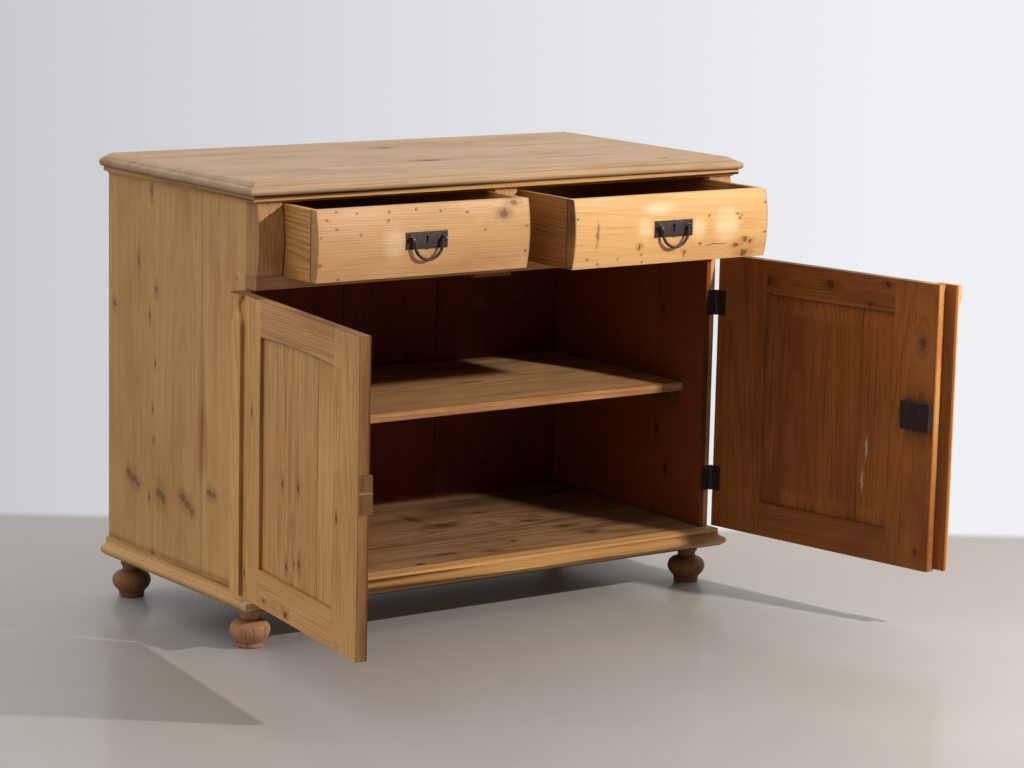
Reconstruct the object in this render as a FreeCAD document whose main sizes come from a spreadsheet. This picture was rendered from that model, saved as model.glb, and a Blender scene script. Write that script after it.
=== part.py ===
"""Stripped pine cupboard: two bow-fronted drawers over two panelled doors, on four turned bun feet.

Millimetres. +X is to the right of someone facing the doors, +Y is to the back and +Z is up. The origin lies
on the floor under the middle of the side panels. The doors stand open and the drawers are drawn out: each
moving piece is built shut and then placed by its opening in the sheet of sizes.
"""
import FreeCAD, Part
import math
import os
import re
import Sketcher

SIZES = {
    # carcass boards
    "carcass_width": 1150,
    "side_depth": 545,
    "side_thickness": 22,
    "back_thickness": 14,
    "back_rebate": 11,
    "back_board_gap": 1,
    "back_board_width": 243,
    "back_seam_shift": 16,
    "bottom_thickness": 22,
    "housing_depth": 7,
    # turned feet and the blocks that hold them
    "foot_height": 85,
    "foot_base_radius": 26,
    "foot_base_height": 12,
    "foot_bun_radius": 40,
    "foot_bun_height": 43,
    "foot_neck_radius": 18.5,
    "foot_collar_radius": 22,
    "foot_collar_height": 18,
    "foot_peg_radius": 8,
    "foot_side_set": 10,
    "foot_front_set": 27,
    "foot_rear_set": 26,
    "foot_block_width": 90,
    # base with its moulding
    "base_height": 36,
    "plinth_depth": 24,
    "base_fillet_projection": 6,
    "base_fillet_height": 9,
    "base_step_projection": 11,
    "base_cove_height": 7,
    "base_bead_height": 18,
    "base_bead_bulge": 8,
    # frieze with the drawer rail, the bowed blocks and the divider
    "rail_height": 25,
    "rail_depth": 60,
    "frieze_height": 141,
    "frieze_projection": 39,
    "frieze_bulge": 10,
    "frieze_block_width": 56,
    "divider_width": 54,
    # top board and the cornice strip under it
    "cornice_height": 15,
    "cornice_projection": 12,
    "cornice_face_height": 10,
    "cornice_foot_projection": 2,
    "top_thickness": 25,
    "top_side_overhang": 22,
    "top_front_overhang": 17,
    "top_bevel_width": 25,
    "top_bevel_drop": 9,
    "top_nose_depth": 7,
    # shelf, its cleats and the door stop
    "shelf_rise": 304,
    "shelf_thickness": 18,
    "shelf_setback": 69,
    "shelf_end_gap": 1,
    "cleat_width": 22,
    "cleat_height": 25,
    "cleat_setback": 14,
    "stop_width": 90,
    "stop_height": 14,
    "stop_depth": 20,
    # drawer runners
    "runner_bearing_width": 30,
    "guide_height": 40,
    # doors
    "door_height": 586,
    "door_thickness": 22,
    "door_clearance": 2,
    "meeting_gap": 2,
    "hinge_stile_width": 132,
    "meeting_stile_width": 107,
    "top_rail_height": 70,
    "bottom_rail_height": 72,
    "arch_rise": 6,
    "panel_recess": 7,
    "groove_width": 8,
    "groove_depth": 10,
    "panel_slack": 0.1,
    "panel_margin": 2,
    "field_height": 5,
    "field_border": 1,
    "field_bevel": 36,
    # hinges
    "hinge_inset": 104,
    "hinge_gap": 1,
    "leaf_height": 53,
    "leaf_width": 20,
    "leaf_thickness": 1.5,
    "knuckle_radius": 4.5,
    "knuckle_clearance": 0.5,
    "knuckle_gap": 0.3,
    "pin_radius": 2.4,
    "pin_clearance": 0.05,
    # carved pilaster on each hinge stile
    "pilaster_width": 46,
    "pilaster_thickness": 8,
    "pilaster_edge_margin": 8,
    "strip_foot_margin": 4,
    "capital_height": 4,
    "capital_thickness": 11,
    "neck_drop": 18,
    "neck_width": 8,
    "neck_thickness": 5,
    "flare_drop": 63,
    # astragal on the right door's meeting edge
    "astragal_width": 50,
    "astragal_thickness": 11,
    "astragal_capital_height": 28,
    "astragal_capital_thickness": 19,
    "astragal_slope_drop": 46,
    "astragal_bead_drop": 105,
    "astragal_bead_height": 13,
    "astragal_bead_bulge": 3,
    "astragal_clearance": 0.5,
    # rim lock of the right door and its keeper on the left door
    "lock_rise": 317,
    "lock_width": 72,
    "lock_height": 58,
    "lock_thickness": 16,
    "bolt_height": 18,
    "bolt_thickness": 5,
    "bolt_length": 46,
    "bolt_behind_gap": 0.5,
    "bolt_slack": 0.2,
    "keeper_height": 72,
    "keeper_drop": 15,
    "keeper_width": 32,
    "keeper_round": 5,
    "keeper_proud": 7,
    "keeper_cover": 2,
    "mortise_clearance": 1,
    "key_inset": 46,
    "keyhole_width": 6,
    "keyhole_height": 17,
    "escutcheon_width": 30,
    "escutcheon_height": 48,
    "escutcheon_thickness": 1.5,
    # drawers
    "drawer_side_gap": 2.5,
    "drawer_top_gap": 3,
    "drawer_run_clearance": 0.3,
    "drawer_face_thickness": 20,
    "drawer_length": 520,
    "drawer_side_thickness": 13,
    "drawer_back_thickness": 12,
    "drawer_back_drop": 6,
    "drawer_bottom_thickness": 8,
    "drawer_bottom_lift": 10,
    "drawer_groove_depth": 6,
    "drawer_bottom_margin": 1,
    "drawer_lock_width": 60,
    "drawer_lock_height": 46,
    "drawer_lock_thickness": 12,
    "drawer_lock_drop": 2,
    "drawer_bolt_width": 14,
    "drawer_bolt_thickness": 5,
    "drawer_bolt_length": 26,
    "drawer_bolt_throw": 9,
    # drop handles
    "plate_width": 95,
    "plate_height": 33,
    "plate_thickness": 2,
    "plate_key_rise": 2,
    "bail_radius": 32,
    "bail_leg_length": 8,
    "bail_wire_radius": 2.6,
    "bail_pivot_radius": 2.1,
    "bail_pivot_clearance": 0.08,
    "bail_standoff": 6,
    "bail_rise": 3,
    "eye_radius": 4.4,
    "eye_thickness": 4,
    "eye_gap": 0.6,
    # how far each moving piece stands open
    "left_door_angle": 98,
    "right_door_angle": 100.2,
    "left_drawer_pull": 117,
    "right_drawer_pull": 185,
}
PEG_SIDES = 8
BAR_SIDES = 8
BEND_STEPS = 9
TURNED_SIDES = 24
SWELL_STEPS = 3
SHOULDER_STEPS = 4
HANDS = ("left", "right")

PLACES = {
    # levels, from the floor up
    "base_top": "foot_height + base_height",
    "block_top": "base_top - bottom_thickness",
    "door_bottom": "base_top + door_clearance",
    "door_top": "door_bottom + door_height",
    "rail_bottom": "door_top + door_clearance",
    "rail_top": "rail_bottom + rail_height",
    "frieze_top": "rail_top + frieze_height",
    "frieze_mid": "rail_top + frieze_height / 2",
    "slab_bottom": "frieze_top + cornice_height",
    "slab_top": "slab_bottom + top_thickness",
    "shelf_top": "base_top + shelf_rise",
    "shelf_bottom": "shelf_top - shelf_thickness",
    # widths, from the middle out
    "half_width": "carcass_width / 2",
    "inner_half": "half_width - side_thickness",
    "guide_face": "half_width - frieze_block_width",
    "half_divider": "divider_width / 2",
    "foot_across": "inner_half - foot_side_set",
    # depths, from the front back
    "front": "-side_depth / 2",
    "back": "side_depth / 2",
    "back_inside": "back - back_thickness",
    "plinth_front": "front - plinth_depth",
    "rail_back": "front + rail_depth",
    "frieze_front": "front - frieze_projection",
    "top_front": "frieze_front - top_front_overhang",
    # the bow that the drawer fronts, the blocks and the divider share
    "bow_radius": "(pow(frieze_height / 2; 2) + pow(frieze_bulge; 2)) / (2 * frieze_bulge)",
    "bow_crown": "frieze_front - frieze_bulge",
    # base moulding, as projections and drops from its top edge
    "base_projection": "base_step_projection + base_bead_bulge",
    "bead_top": "base_top - base_fillet_height - base_cove_height",
    "bead_bottom": "bead_top - base_bead_height",
    "bead_radius": "(pow(base_bead_height / 2; 2) + pow(base_bead_bulge; 2)) / (2 * base_bead_bulge)",
    "base_cove_run": "base_step_projection - base_fillet_projection",
    "base_cove_radius": "(pow(base_cove_run; 2) + pow(base_cove_height; 2)) / (2 * base_cove_run) * 1.05",
    "cornice_cove_run": "cornice_projection - cornice_foot_projection",
    "cornice_cove_drop": "cornice_height - cornice_face_height",
    "cornice_cove_radius": "pow(pow(cornice_cove_run; 2) + pow(cornice_cove_drop; 2); 0.5)",
    # nose of the top board
    "nose_top": "slab_top - top_bevel_drop",
    "nose_height": "top_thickness - top_bevel_drop",
    "nose_radius": "(pow(nose_height / 2; 2) + pow(top_nose_depth; 2)) / (2 * top_nose_depth)",
    "top_half": "half_width + top_side_overhang",
    # hinge pins, and a door seen from its own pin with the door shut
    "hinge_offset": "knuckle_radius + knuckle_clearance",
    "hinge_across": "half_width + hinge_offset",
    "hinge_depth": "front - hinge_gap / 2",
    "door_width": "half_width - meeting_gap / 2",
    "door_edge": "hinge_offset + door_width",
    "door_inside": "-hinge_gap / 2",
    "door_face": "door_inside - door_thickness",
    "groove_front": "door_face + panel_recess",
    "groove_back": "groove_front + groove_width",
    "opening_near": "hinge_offset + hinge_stile_width",
    "opening_far": "door_edge - meeting_stile_width",
    "opening_bottom": "door_bottom + bottom_rail_height",
    "opening_top": "door_top - top_rail_height",
    "half_opening": "(opening_far - opening_near) / 2",
    "arch_radius": "(pow(half_opening; 2) + pow(arch_rise; 2)) / (2 * arch_rise)",
    "lock_level": "door_bottom + lock_rise",
    "bolt_depth": "door_inside + keeper_proud + bolt_behind_gap + bolt_thickness / 2",
    "keeper_level": "lock_level - keeper_drop",
    "knuckle_height": "leaf_height / 2",
    # drawer pieces, shut
    "drawer_outer": "guide_face - drawer_side_gap",
    "drawer_inner": "half_divider + drawer_side_gap",
    "drawer_middle": "(drawer_outer + drawer_inner) / 2",
    "drawer_bottom": "rail_top + drawer_run_clearance",
    "drawer_top": "frieze_top - drawer_top_gap",
    "face_back": "frieze_front + drawer_face_thickness",
    "drawer_rear": "face_back + drawer_length",
    "panel_level": "drawer_bottom + drawer_bottom_lift",
    "panel_roof": "panel_level + drawer_bottom_thickness",
    "drawer_lock_top": "drawer_top - drawer_lock_drop",
    "drawer_bolt_depth": "face_back + drawer_lock_thickness / 2",
    # drop handles
    "plate_front": "bow_crown - plate_thickness",
    "key_level": "frieze_mid + plate_key_rise",
    "bail_depth": "plate_front - bail_standoff",
    "bail_level": "frieze_mid + bail_rise",
    "bail_centre": "bail_level - bail_leg_length",
    "eye_inner": "bail_radius + bail_wire_radius + eye_gap",
    "eye_outer": "eye_inner + eye_thickness",
}

doc = FreeCAD.newDocument("pine_cupboard")
sheet = doc.addObject("Spreadsheet::Sheet", "Sizes")
for row, (size_name, number) in enumerate(SIZES.items(), start=1):
    sheet.set(f"A{row}", size_name)
    sheet.set(f"B{row}", str(number))
    sheet.setAlias(f"B{row}", size_name)
doc.recompute()

nodes = []


def formula(text):
    """Spell a formula of named sizes and places out as an expression on the sheet."""

    def spell(match):
        word = match.group()
        if word in SIZES:
            return f"Sizes.{word}"
        if word in PLACES:
            return f"({formula(PLACES[word])})"
        return word

    return re.sub(r"[a-z_]+", spell, str(text))


def measure(text):
    """The number that a formula has now."""
    return float(sheet.evalExpression(formula(text)))


def node(piece, name):
    """Name a finished sub-part and keep it for the list of files."""
    piece.Label = name
    nodes.append(piece)
    return piece


def mirrored(hand, low, high):
    """A range across the cupboard, given for the right half and turned over for the left."""
    return (low, high) if hand == "right" else (f"-({high})", f"-({low})")


def from_pin(hand, low, high):
    """A range across a shut door, counted from its hinge pin towards the other door."""
    return (low, high) if hand == "left" else (f"-({high})", f"-({low})")


def flipped(corners):
    """An outline turned over left to right."""
    return [(f"-({corner[0]})", corner[1]) + tuple(
        (corner[2], -corner[3]) if len(corner) == 4 else ()) for corner in corners]


def about(middle, width):
    """A range of a given width about its middle."""
    return (f"{middle} - {width} / 2", f"{middle} + {width} / 2")


def upright_arc(run, rise):
    """Radius of an arc that starts upright and moves over by a run in a rise."""
    return f"(pow({run}; 2) + pow({rise}; 2)) / (2 * ({run}))"


def arc_steps(run, rise, count):
    """Places part of the way along an arc that starts upright, as (run, rise), in even chords."""
    radius = upright_arc(run, rise)
    steps = []
    for step in range(1, count):
        angle = f"(2 * atan(({run}) / ({rise})) * {step} / {count})"
        steps.append((f"{radius} * (1 - cos{angle})", f"{radius} * sin{angle}"))
    return steps


def board(name, across, depth, height):
    """A squared board between two places along each axis."""
    piece = doc.addObject("Part::Box", name)
    for size, (low, high) in zip(("Length", "Width", "Height"), (across, depth, height)):
        piece.setExpression(size, formula(f"({high}) - ({low})"))
    for axis, (low, _) in zip("xyz", (across, depth, height)):
        piece.setExpression(f"Placement.Base.{axis}", formula(low))
    return piece


def rod(name, radius, across, depth, height):
    """A round rod along the one axis that is given as a range, through two fixed places."""
    piece = doc.addObject("Part::Cylinder", name)
    piece.setExpression("Radius", formula(radius))
    turn = "rotation(vector(0; 0; 1); 0)"
    low, high = height if isinstance(height, tuple) else across
    start = [across, depth, low]
    if isinstance(across, tuple):
        turn = "rotation(vector(0; 1; 0); 90)"
        start = [low, depth, height]
    piece.setExpression("Height", formula(f"({high}) - ({low})"))
    piece.setExpression("Placement", formula(f"placement(vector({'; '.join(start)}); {turn})"))
    return piece


def joined(name, pieces):
    """Several solids as one."""
    piece = doc.addObject("Part::MultiFuse", name)
    piece.Shapes = pieces
    return piece


def cut(name, base, tools):
    """A solid less its tools."""
    piece = doc.addObject("Part::Cut", name)
    piece.Base = base
    piece.Tool = tools[0] if len(tools) == 1 else joined(f"{name}_tools", tools)
    return piece


def common(name, first, second):
    """What two solids share."""
    piece = doc.addObject("Part::Common", name)
    piece.Base = first
    piece.Tool = second
    return piece


def group(name, pieces):
    """Separate solids of one kind, kept together."""
    piece = doc.addObject("Part::Compound", name)
    piece.Links = pieces
    return piece


def arc_through(start, end, radius, side):
    """An arc of under a half circle, bowed to the right of its travel for a side of 1, else to the left."""
    chord = end - start
    rise = radius - math.sqrt(max(radius ** 2 - (chord.Length / 2) ** 2, 0))
    right = FreeCAD.Vector(chord.y, -chord.x, 0).normalize()
    return Part.Arc(start, (start + end) / 2 + right * rise * side, end)


def outline(body, plane, level, corners):
    """Sketch a closed outline on one of the body's own planes, moved to a level along that plane's normal.

    A corner is (across, up), or (across, up, radius, side) where the side that leaves it is an arc.
    """
    sketch = body.newObject("Sketcher::SketchObject", f"{body.Name}_outline")
    support = [origin for origin in body.Origin.OriginFeatures if origin.Role == plane][0]
    sketch.AttachmentSupport = [(support, "")]
    sketch.MapMode = "FlatFace"
    sketch.setExpression("AttachmentOffset.Base.z", formula(level))
    spots = [FreeCAD.Vector(measure(corner[0]), measure(corner[1]), 0) for corner in corners]
    starts = []
    for index, corner in enumerate(corners):
        start, end = spots[index], spots[(index + 1) % len(spots)]
        if len(corner) == 4:
            sketch.addGeometry(arc_through(start, end, measure(corner[2]), corner[3]))
        else:
            sketch.addGeometry(Part.LineSegment(start, end))
        starts.append(1 if (sketch.getPoint(index, 1) - start).Length < 1e-6 else 2)
    for index, corner in enumerate(corners):
        after = (index + 1) % len(corners)
        start, end = starts[index], 3 - starts[index]
        sketch.addConstraint(Sketcher.Constraint("Coincident", index, end, after, starts[after]))
        for kind, text, place in zip(("DistanceX", "DistanceY"), corner, spots[index]):
            number = sketch.addConstraint(Sketcher.Constraint(kind, -1, 1, index, start, place))
            sketch.setExpression(f"Constraints[{number}]", formula(text))
        if len(corner) == 4:
            number = sketch.addConstraint(Sketcher.Constraint("Radius", index, measure(corner[2])))
            sketch.setExpression(f"Constraints[{number}]", formula(corner[2]))
    return sketch


def extrude(body, kind, plane, corners, low, high):
    """A pad or pocket of an outline between two levels along the plane's axis."""
    level = f"-({high})" if plane == "XZ_Plane" else low
    feature = body.newObject(kind, f"{body.Name}_{kind.split('::')[1]}")
    feature.Profile = outline(body, plane, level, corners)
    feature.setExpression("Length", formula(f"({high}) - ({low})"))
    feature.Reversed = kind == "PartDesign::Pocket"
    return feature


def prism(name, plane, corners, low, high):
    """A body padded from an outline."""
    body = doc.addObject("PartDesign::Body", name)
    extrude(body, "PartDesign::Pad", plane, corners, low, high)
    return body


def carve(body, plane, corners, low, high):
    """Pocket an outline out of a body."""
    extrude(body, "PartDesign::Pocket", plane, corners, low, high)


def rectangle(across, up):
    """The four corners of a rectangle."""
    return [(across[0], up[0]), (across[1], up[0]), (across[1], up[1]), (across[0], up[1])]


def ringed(name, sides, rings):
    """A many-sided solid through rings, each one a (radius, across, up, tilt about the Y axis)."""
    sections = []
    for index, (radius, across, up, tilt) in enumerate(rings):
        ring = doc.addObject("Part::RegularPolygon", f"{name}_ring_{index}")
        ring.Polygon = sides
        ring.setExpression("Circumradius", formula(radius))
        ring.setExpression("Placement", formula(
            f"placement(vector({across}; 0; {up}); rotation(vector(0; 1; 0); {tilt}))"))
        sections.append(ring)
    solid = doc.addObject("Part::Loft", name)
    solid.Sections = sections
    solid.Solid = True
    solid.Ruled = True
    return solid


def turned(name, sides, contour):
    """A turned solid with flat facets: its padded silhouette, turned by equal steps, and what these share.

    The contour is a list of (radius, up) from the bottom to the top.
    """
    outward = [(radius, up) for radius, up in contour]
    inward = [(f"-({radius})", up) for radius, up in reversed(contour)]
    reach = "2 * foot_bun_radius"
    silhouette = prism(f"{name}_silhouette", "XZ_Plane", outward + inward, f"-{reach}", reach)
    ways = [silhouette]
    for step in range(1, sides // 2):
        way = doc.addObject("App::Link", f"{name}_way_{step}")
        way.LinkedObject = silhouette
        spin = FreeCAD.Rotation(FreeCAD.Vector(0, 0, 1), 360 * step / sides)
        way.Placement = FreeCAD.Placement(FreeCAD.Vector(), spin)
        ways.append(way)
    piece = doc.addObject("Part::MultiCommon", name)
    piece.Shapes = ways
    return piece


def stand(piece, across, depth):
    """Set a piece that was built about the upright axis at its place."""
    piece.setExpression("Placement", formula(
        f"placement(vector({across}; {depth}; 0); rotation(vector(0; 0; 1); 0))"))
    return piece


def hang(piece, hand):
    """Swing a door piece, built shut and about its hinge pin, to where the door stands open."""
    sign = "-" if hand == "left" else ""
    across, turn = f"{sign}hinge_across", f"{sign}{hand}_door_angle"
    piece.setExpression("Placement", formula(
        f"placement(vector({across}; hinge_depth; 0); rotation(vector(0; 0; 1); {turn}))"))
    return piece


def draw_out(piece, hand):
    """Slide a drawer piece, built shut, to where the drawer stands open."""
    piece.setExpression("Placement.Base.y", formula(f"-{hand}_drawer_pull"))
    return piece


def bow(level, proud="0"):
    """How far forward the bowed frieze stands at a level, or a skin that is proud of it."""
    return f"(bow_crown + bow_radius - sqrt(pow(bow_radius + {proud}; 2) - pow({level} - frieze_mid; 2)))"


def bowed_outline(rear, bottom, top):
    """The section of a bowed front from a flat rear face."""
    return [(rear, bottom), (rear, top), (bow(top), top, "bow_radius", 1), (bow(bottom), bottom)]


def make_top():
    """The top board: a moulded edge along the front and both ends, mitred by crossing two sections."""
    end_section = [
        ("back", "slab_bottom"), ("back", "slab_top"), ("top_front + top_bevel_width", "slab_top"),
        ("top_front + top_nose_depth", "nose_top", "nose_radius", 1),
        ("top_front + top_nose_depth", "slab_bottom"),
    ]
    front_section = [
        ("-top_half + top_nose_depth", "slab_bottom"),
        ("top_half - top_nose_depth", "slab_bottom", "nose_radius", 1),
        ("top_half - top_nose_depth", "nose_top"), ("top_half - top_bevel_width", "slab_top"),
        ("-top_half + top_bevel_width", "slab_top"),
        ("-top_half + top_nose_depth", "nose_top", "nose_radius", 1),
    ]
    along = prism("top_along", "YZ_Plane", end_section, "-top_half", "top_half")
    through = prism("top_through", "XZ_Plane", front_section, "top_front", "back")
    node(common("top_crossing", along, through), "top_board")


def mitred_frame(name, section, face, projection):
    """A moulding round the front and both ends, in three lengths mitred at the front corners.

    Args:
        section: outline as (projection, level) corners, from the face outwards.
        face: depth of the face that carries the front length.
        projection: how far the moulding stands out.
    """
    tip = f"({face} - {projection})"
    outer = f"(half_width + {projection})"
    front_corners = [(f"{face} - ({corner[0]})",) + tuple(corner[1:]) for corner in section]
    front_corners = [corner[:3] + (-corner[3],) if len(corner) == 4 else corner for corner in front_corners]
    lengths = [prism(f"{name}_front", "YZ_Plane", front_corners, f"-{outer}", outer)]
    for hand in HANDS:
        mitre = [("half_width", face), (outer, face), (outer, tip)]
        end_corners = [(f"half_width + ({corner[0]})",) + tuple(corner[1:]) for corner in section]
        end_mitre = [("half_width", face), ("half_width", tip), (outer, tip)]
        if hand == "left":
            mitre, end_corners, end_mitre = flipped(mitre), flipped(end_corners), flipped(end_mitre)
        carve(lengths[0], "XY_Plane", mitre, "0", "slab_top")
        end = prism(f"{name}_{hand}", "XZ_Plane", end_corners, tip, "back")
        carve(end, "XY_Plane", end_mitre, "0", "slab_top")
        lengths.append(end)
    node(group(name, lengths), name)


def make_mouldings():
    """The cornice strip under the top and the moulding round the base."""
    cornice = [
        ("0", "frieze_top"), ("cornice_foot_projection", "frieze_top", "cornice_cove_radius", -1),
        ("cornice_projection", "frieze_top + cornice_cove_drop"), ("cornice_projection", "slab_bottom"),
        ("0", "slab_bottom"),
    ]
    mitred_frame("cornice", cornice, "frieze_front", "cornice_projection")
    base = [
        ("0", "foot_height"), ("base_step_projection", "foot_height"),
        ("base_step_projection", "bead_bottom", "bead_radius", 1),
        ("base_step_projection", "bead_top", "base_cove_radius", -1),
        ("base_fillet_projection", "base_top - base_fillet_height"), ("base_fillet_projection", "base_top"),
        ("0", "base_top"),
    ]
    mitred_frame("base_moulding", base, "plinth_front", "base_projection")


def hinge_level(place):
    """Height of the middle of a hinge."""
    return "door_top - hinge_inset" if place == "upper" else "door_bottom + hinge_inset"


def leaf_range(place):
    """The height that a hinge leaf covers."""
    return (f"{hinge_level(place)} - leaf_height / 2", f"{hinge_level(place)} + leaf_height / 2")


def make_sides():
    """The side panels: rebated for the back, housed for the bottom and let in for the hinge leaves."""
    for hand in HANDS:
        name = f"{hand}_side"
        panel = board(f"{name}_panel", mirrored(hand, "inner_half", "half_width"), ("front", "back"),
                      ("foot_height", "slab_bottom"))
        tools = [
            board(f"{name}_rebate", mirrored(hand, "inner_half", "inner_half + back_rebate"),
                  ("back_inside", "back"), ("foot_height", "slab_bottom")),
            board(f"{name}_housing", mirrored(hand, "inner_half", "inner_half + housing_depth"),
                  ("front", "back_inside"), ("block_top", "base_top")),
        ]
        for place in ("upper", "lower"):
            across = mirrored(hand, "half_width - leaf_width", "half_width")
            tools.append(board(f"{name}_{place}_recess", across, ("front", "front + leaf_thickness"),
                               leaf_range(place)))
        node(cut(f"{name}_cut", panel, tools), name)


def make_back():
    """The back: four upright boards in the rebates of the sides, the middle two alike."""
    edge = "inner_half + back_rebate"
    seams = [f"{index} * back_board_width - back_seam_shift" for index in (-1, 0, 1)]
    lefts = [f"-({edge})"] + [f"{seam} + back_board_gap / 2" for seam in seams]
    rights = [f"{seam} - back_board_gap / 2" for seam in seams] + [edge]
    boards = [
        board(f"back_board_{index + 1}", across, ("back_inside", "back"), ("foot_height", "slab_bottom"))
        for index, across in enumerate(zip(lefts, rights))
    ]
    node(group("back_group", boards), "back_boards")


def foot_contour():
    """The contour of a turned foot, from the floor up: a plain base, a bun and a collar."""
    equator = "foot_base_height + foot_bun_height / 2"
    swell = arc_steps("foot_bun_radius - foot_base_radius", "foot_bun_height / 2", SWELL_STEPS)
    shoulder = arc_steps("foot_bun_radius - foot_neck_radius", "foot_bun_height / 2", SHOULDER_STEPS)
    contour = [("foot_base_radius", "0"), ("foot_base_radius", "foot_base_height")]
    contour += [(f"foot_bun_radius - {run}", f"{equator} - {rise}") for run, rise in reversed(swell)]
    contour.append(("foot_bun_radius", equator))
    contour += [(f"foot_bun_radius - {run}", f"{equator} + {rise}") for run, rise in shoulder]
    contour += [
        ("foot_neck_radius", "foot_base_height + foot_bun_height"),
        ("foot_collar_radius", "foot_height - foot_collar_height"), ("foot_collar_radius", "foot_height"),
    ]
    return contour


def peg(name, across, depth):
    """A whittled peg on top of a foot, or the hole for it."""
    piece = doc.addObject("Part::Prism", name)
    piece.Polygon = PEG_SIDES
    piece.setExpression("Circumradius", formula("foot_peg_radius"))
    piece.setExpression("Height", formula("block_top - foot_height"))
    piece.setExpression("Placement", formula(
        f"placement(vector({across}; {depth}; foot_height); rotation(vector(0; 0; 1); 0))"))
    return piece


def make_base():
    """The bottom board, the rail in front of it, the blocks under its corners and the turned feet."""
    node(board("bottom_plank", ("-inner_half - housing_depth", "inner_half + housing_depth"),
               ("front", "back_inside"), ("block_top", "base_top")), "bottom_board")
    node(board("plinth_strip", ("-half_width", "half_width"), ("plinth_front", "front"),
               ("foot_height", "base_top")), "plinth_rail")
    turning = turned("foot_turning", TURNED_SIDES, foot_contour())
    blocks = []
    for end in ("front", "rear"):
        for hand in HANDS:
            name = f"{end}_{hand}_foot"
            across = mirrored(hand, "foot_across", "foot_across")[0]
            depth = "front + foot_front_set" if end == "front" else "back_inside - foot_rear_set"
            span = ("front", "front + foot_block_width") if end == "front" else (
                "back_inside - foot_block_width", "back_inside")
            whole = joined(f"{name}_whole", [turning, peg(f"{name}_peg", "0", "0")])
            node(stand(whole, across, depth), name)
            corner = mirrored(hand, "inner_half - foot_block_width", "inner_half")
            block = board(f"{name}_square", corner, span, ("foot_height", "block_top"))
            blocks.append(cut(f"{name}_block", block, [peg(f"{name}_hole", across, depth)]))
    node(group("block_group", blocks), "foot_blocks")


def make_frieze():
    """The drawer rail, the strip over the drawers, and the bowed blocks and divider between them."""
    rail = [
        ("-half_width", "frieze_front"), ("half_width", "frieze_front"), ("half_width", "front"),
        ("inner_half", "front"), ("inner_half", "rail_back"), ("-inner_half", "rail_back"),
        ("-inner_half", "front"), ("-half_width", "front"),
    ]
    node(prism("drawer_rail_board", "XY_Plane", rail, "rail_bottom", "rail_top"), "drawer_rail")
    strip_plan = rectangle(("-half_width", "half_width"), ("frieze_front", "front"))
    strip = prism("top_front_strip", "XY_Plane", strip_plan, "frieze_top", "slab_bottom")
    mortise_top = "drawer_lock_top + drawer_bolt_throw + mortise_clearance"
    for hand in HANDS:
        across = mirrored(hand, *about("drawer_middle", "(drawer_bolt_width + 2 * mortise_clearance)"))
        depth = about("drawer_bolt_depth", "(drawer_bolt_thickness + 2 * mortise_clearance)")
        carve(strip, "XY_Plane", rectangle(across, depth), "frieze_top", mortise_top)
    node(strip, "top_front_rail")
    section = bowed_outline("front", "rail_top", "frieze_top")
    for hand in HANDS:
        low, high = mirrored(hand, "guide_face", "half_width")
        node(prism(f"{hand}_bowed_block", "YZ_Plane", section, low, high), f"{hand}_frieze_block")
    node(prism("bowed_divider", "YZ_Plane", section, "-half_divider", "half_divider"), "drawer_divider")


def make_runners():
    """The rebated runners that the drawers slide on, one at each side and one between them."""
    sides = []
    for hand in HANDS:
        section = [
            ("guide_face - runner_bearing_width", "rail_bottom"), ("inner_half", "rail_bottom"),
            ("inner_half", "rail_top + guide_height"), ("guide_face", "rail_top + guide_height"),
            ("guide_face", "rail_top"), ("guide_face - runner_bearing_width", "rail_top"),
        ]
        section = flipped(section) if hand == "left" else section
        sides.append(prism(f"{hand}_runner", "XZ_Plane", section, "rail_back", "back_inside"))
    node(group("runner_group", sides), "side_runners")
    foot = "half_divider + runner_bearing_width"
    middle = [
        (f"-({foot})", "rail_bottom"), (foot, "rail_bottom"), (foot, "rail_top"),
        ("half_divider", "rail_top"), ("half_divider", "rail_top + guide_height"),
        ("-half_divider", "rail_top + guide_height"),
        ("-half_divider", "rail_top"), (f"-({foot})", "rail_top"),
    ]
    node(prism("middle_runner", "XZ_Plane", middle, "rail_back", "back_inside"), "centre_runner")


def make_shelf():
    """The loose shelf on its cleats, and the block under the drawer rail that stops the doors."""
    plank = board("shelf_plank", ("-inner_half + shelf_end_gap", "inner_half - shelf_end_gap"),
                  ("front + shelf_setback", "back_inside - shelf_end_gap"), ("shelf_bottom", "shelf_top"))
    node(plank, "shelf")
    cleats = [board(f"{hand}_cleat", mirrored(hand, "inner_half - cleat_width", "inner_half"),
                    ("front + shelf_setback + cleat_setback", "back_inside"),
                    ("shelf_bottom - cleat_height", "shelf_bottom")) for hand in HANDS]
    node(group("cleat_group", cleats), "shelf_cleats")
    node(board("stop_block", ("-stop_width / 2", "stop_width / 2"), ("front", "front + stop_depth"),
               ("rail_bottom - stop_height", "rail_bottom")), "door_stop")


def knuckle_range(place, step):
    """The height of one of a hinge's two knuckles, less the running gap above and below it."""
    low = f"{hinge_level(place)} - leaf_height / 2 + {step} * knuckle_height"
    return (f"{low} + knuckle_gap / 2", f"{low} + knuckle_height - knuckle_gap / 2")


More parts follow.
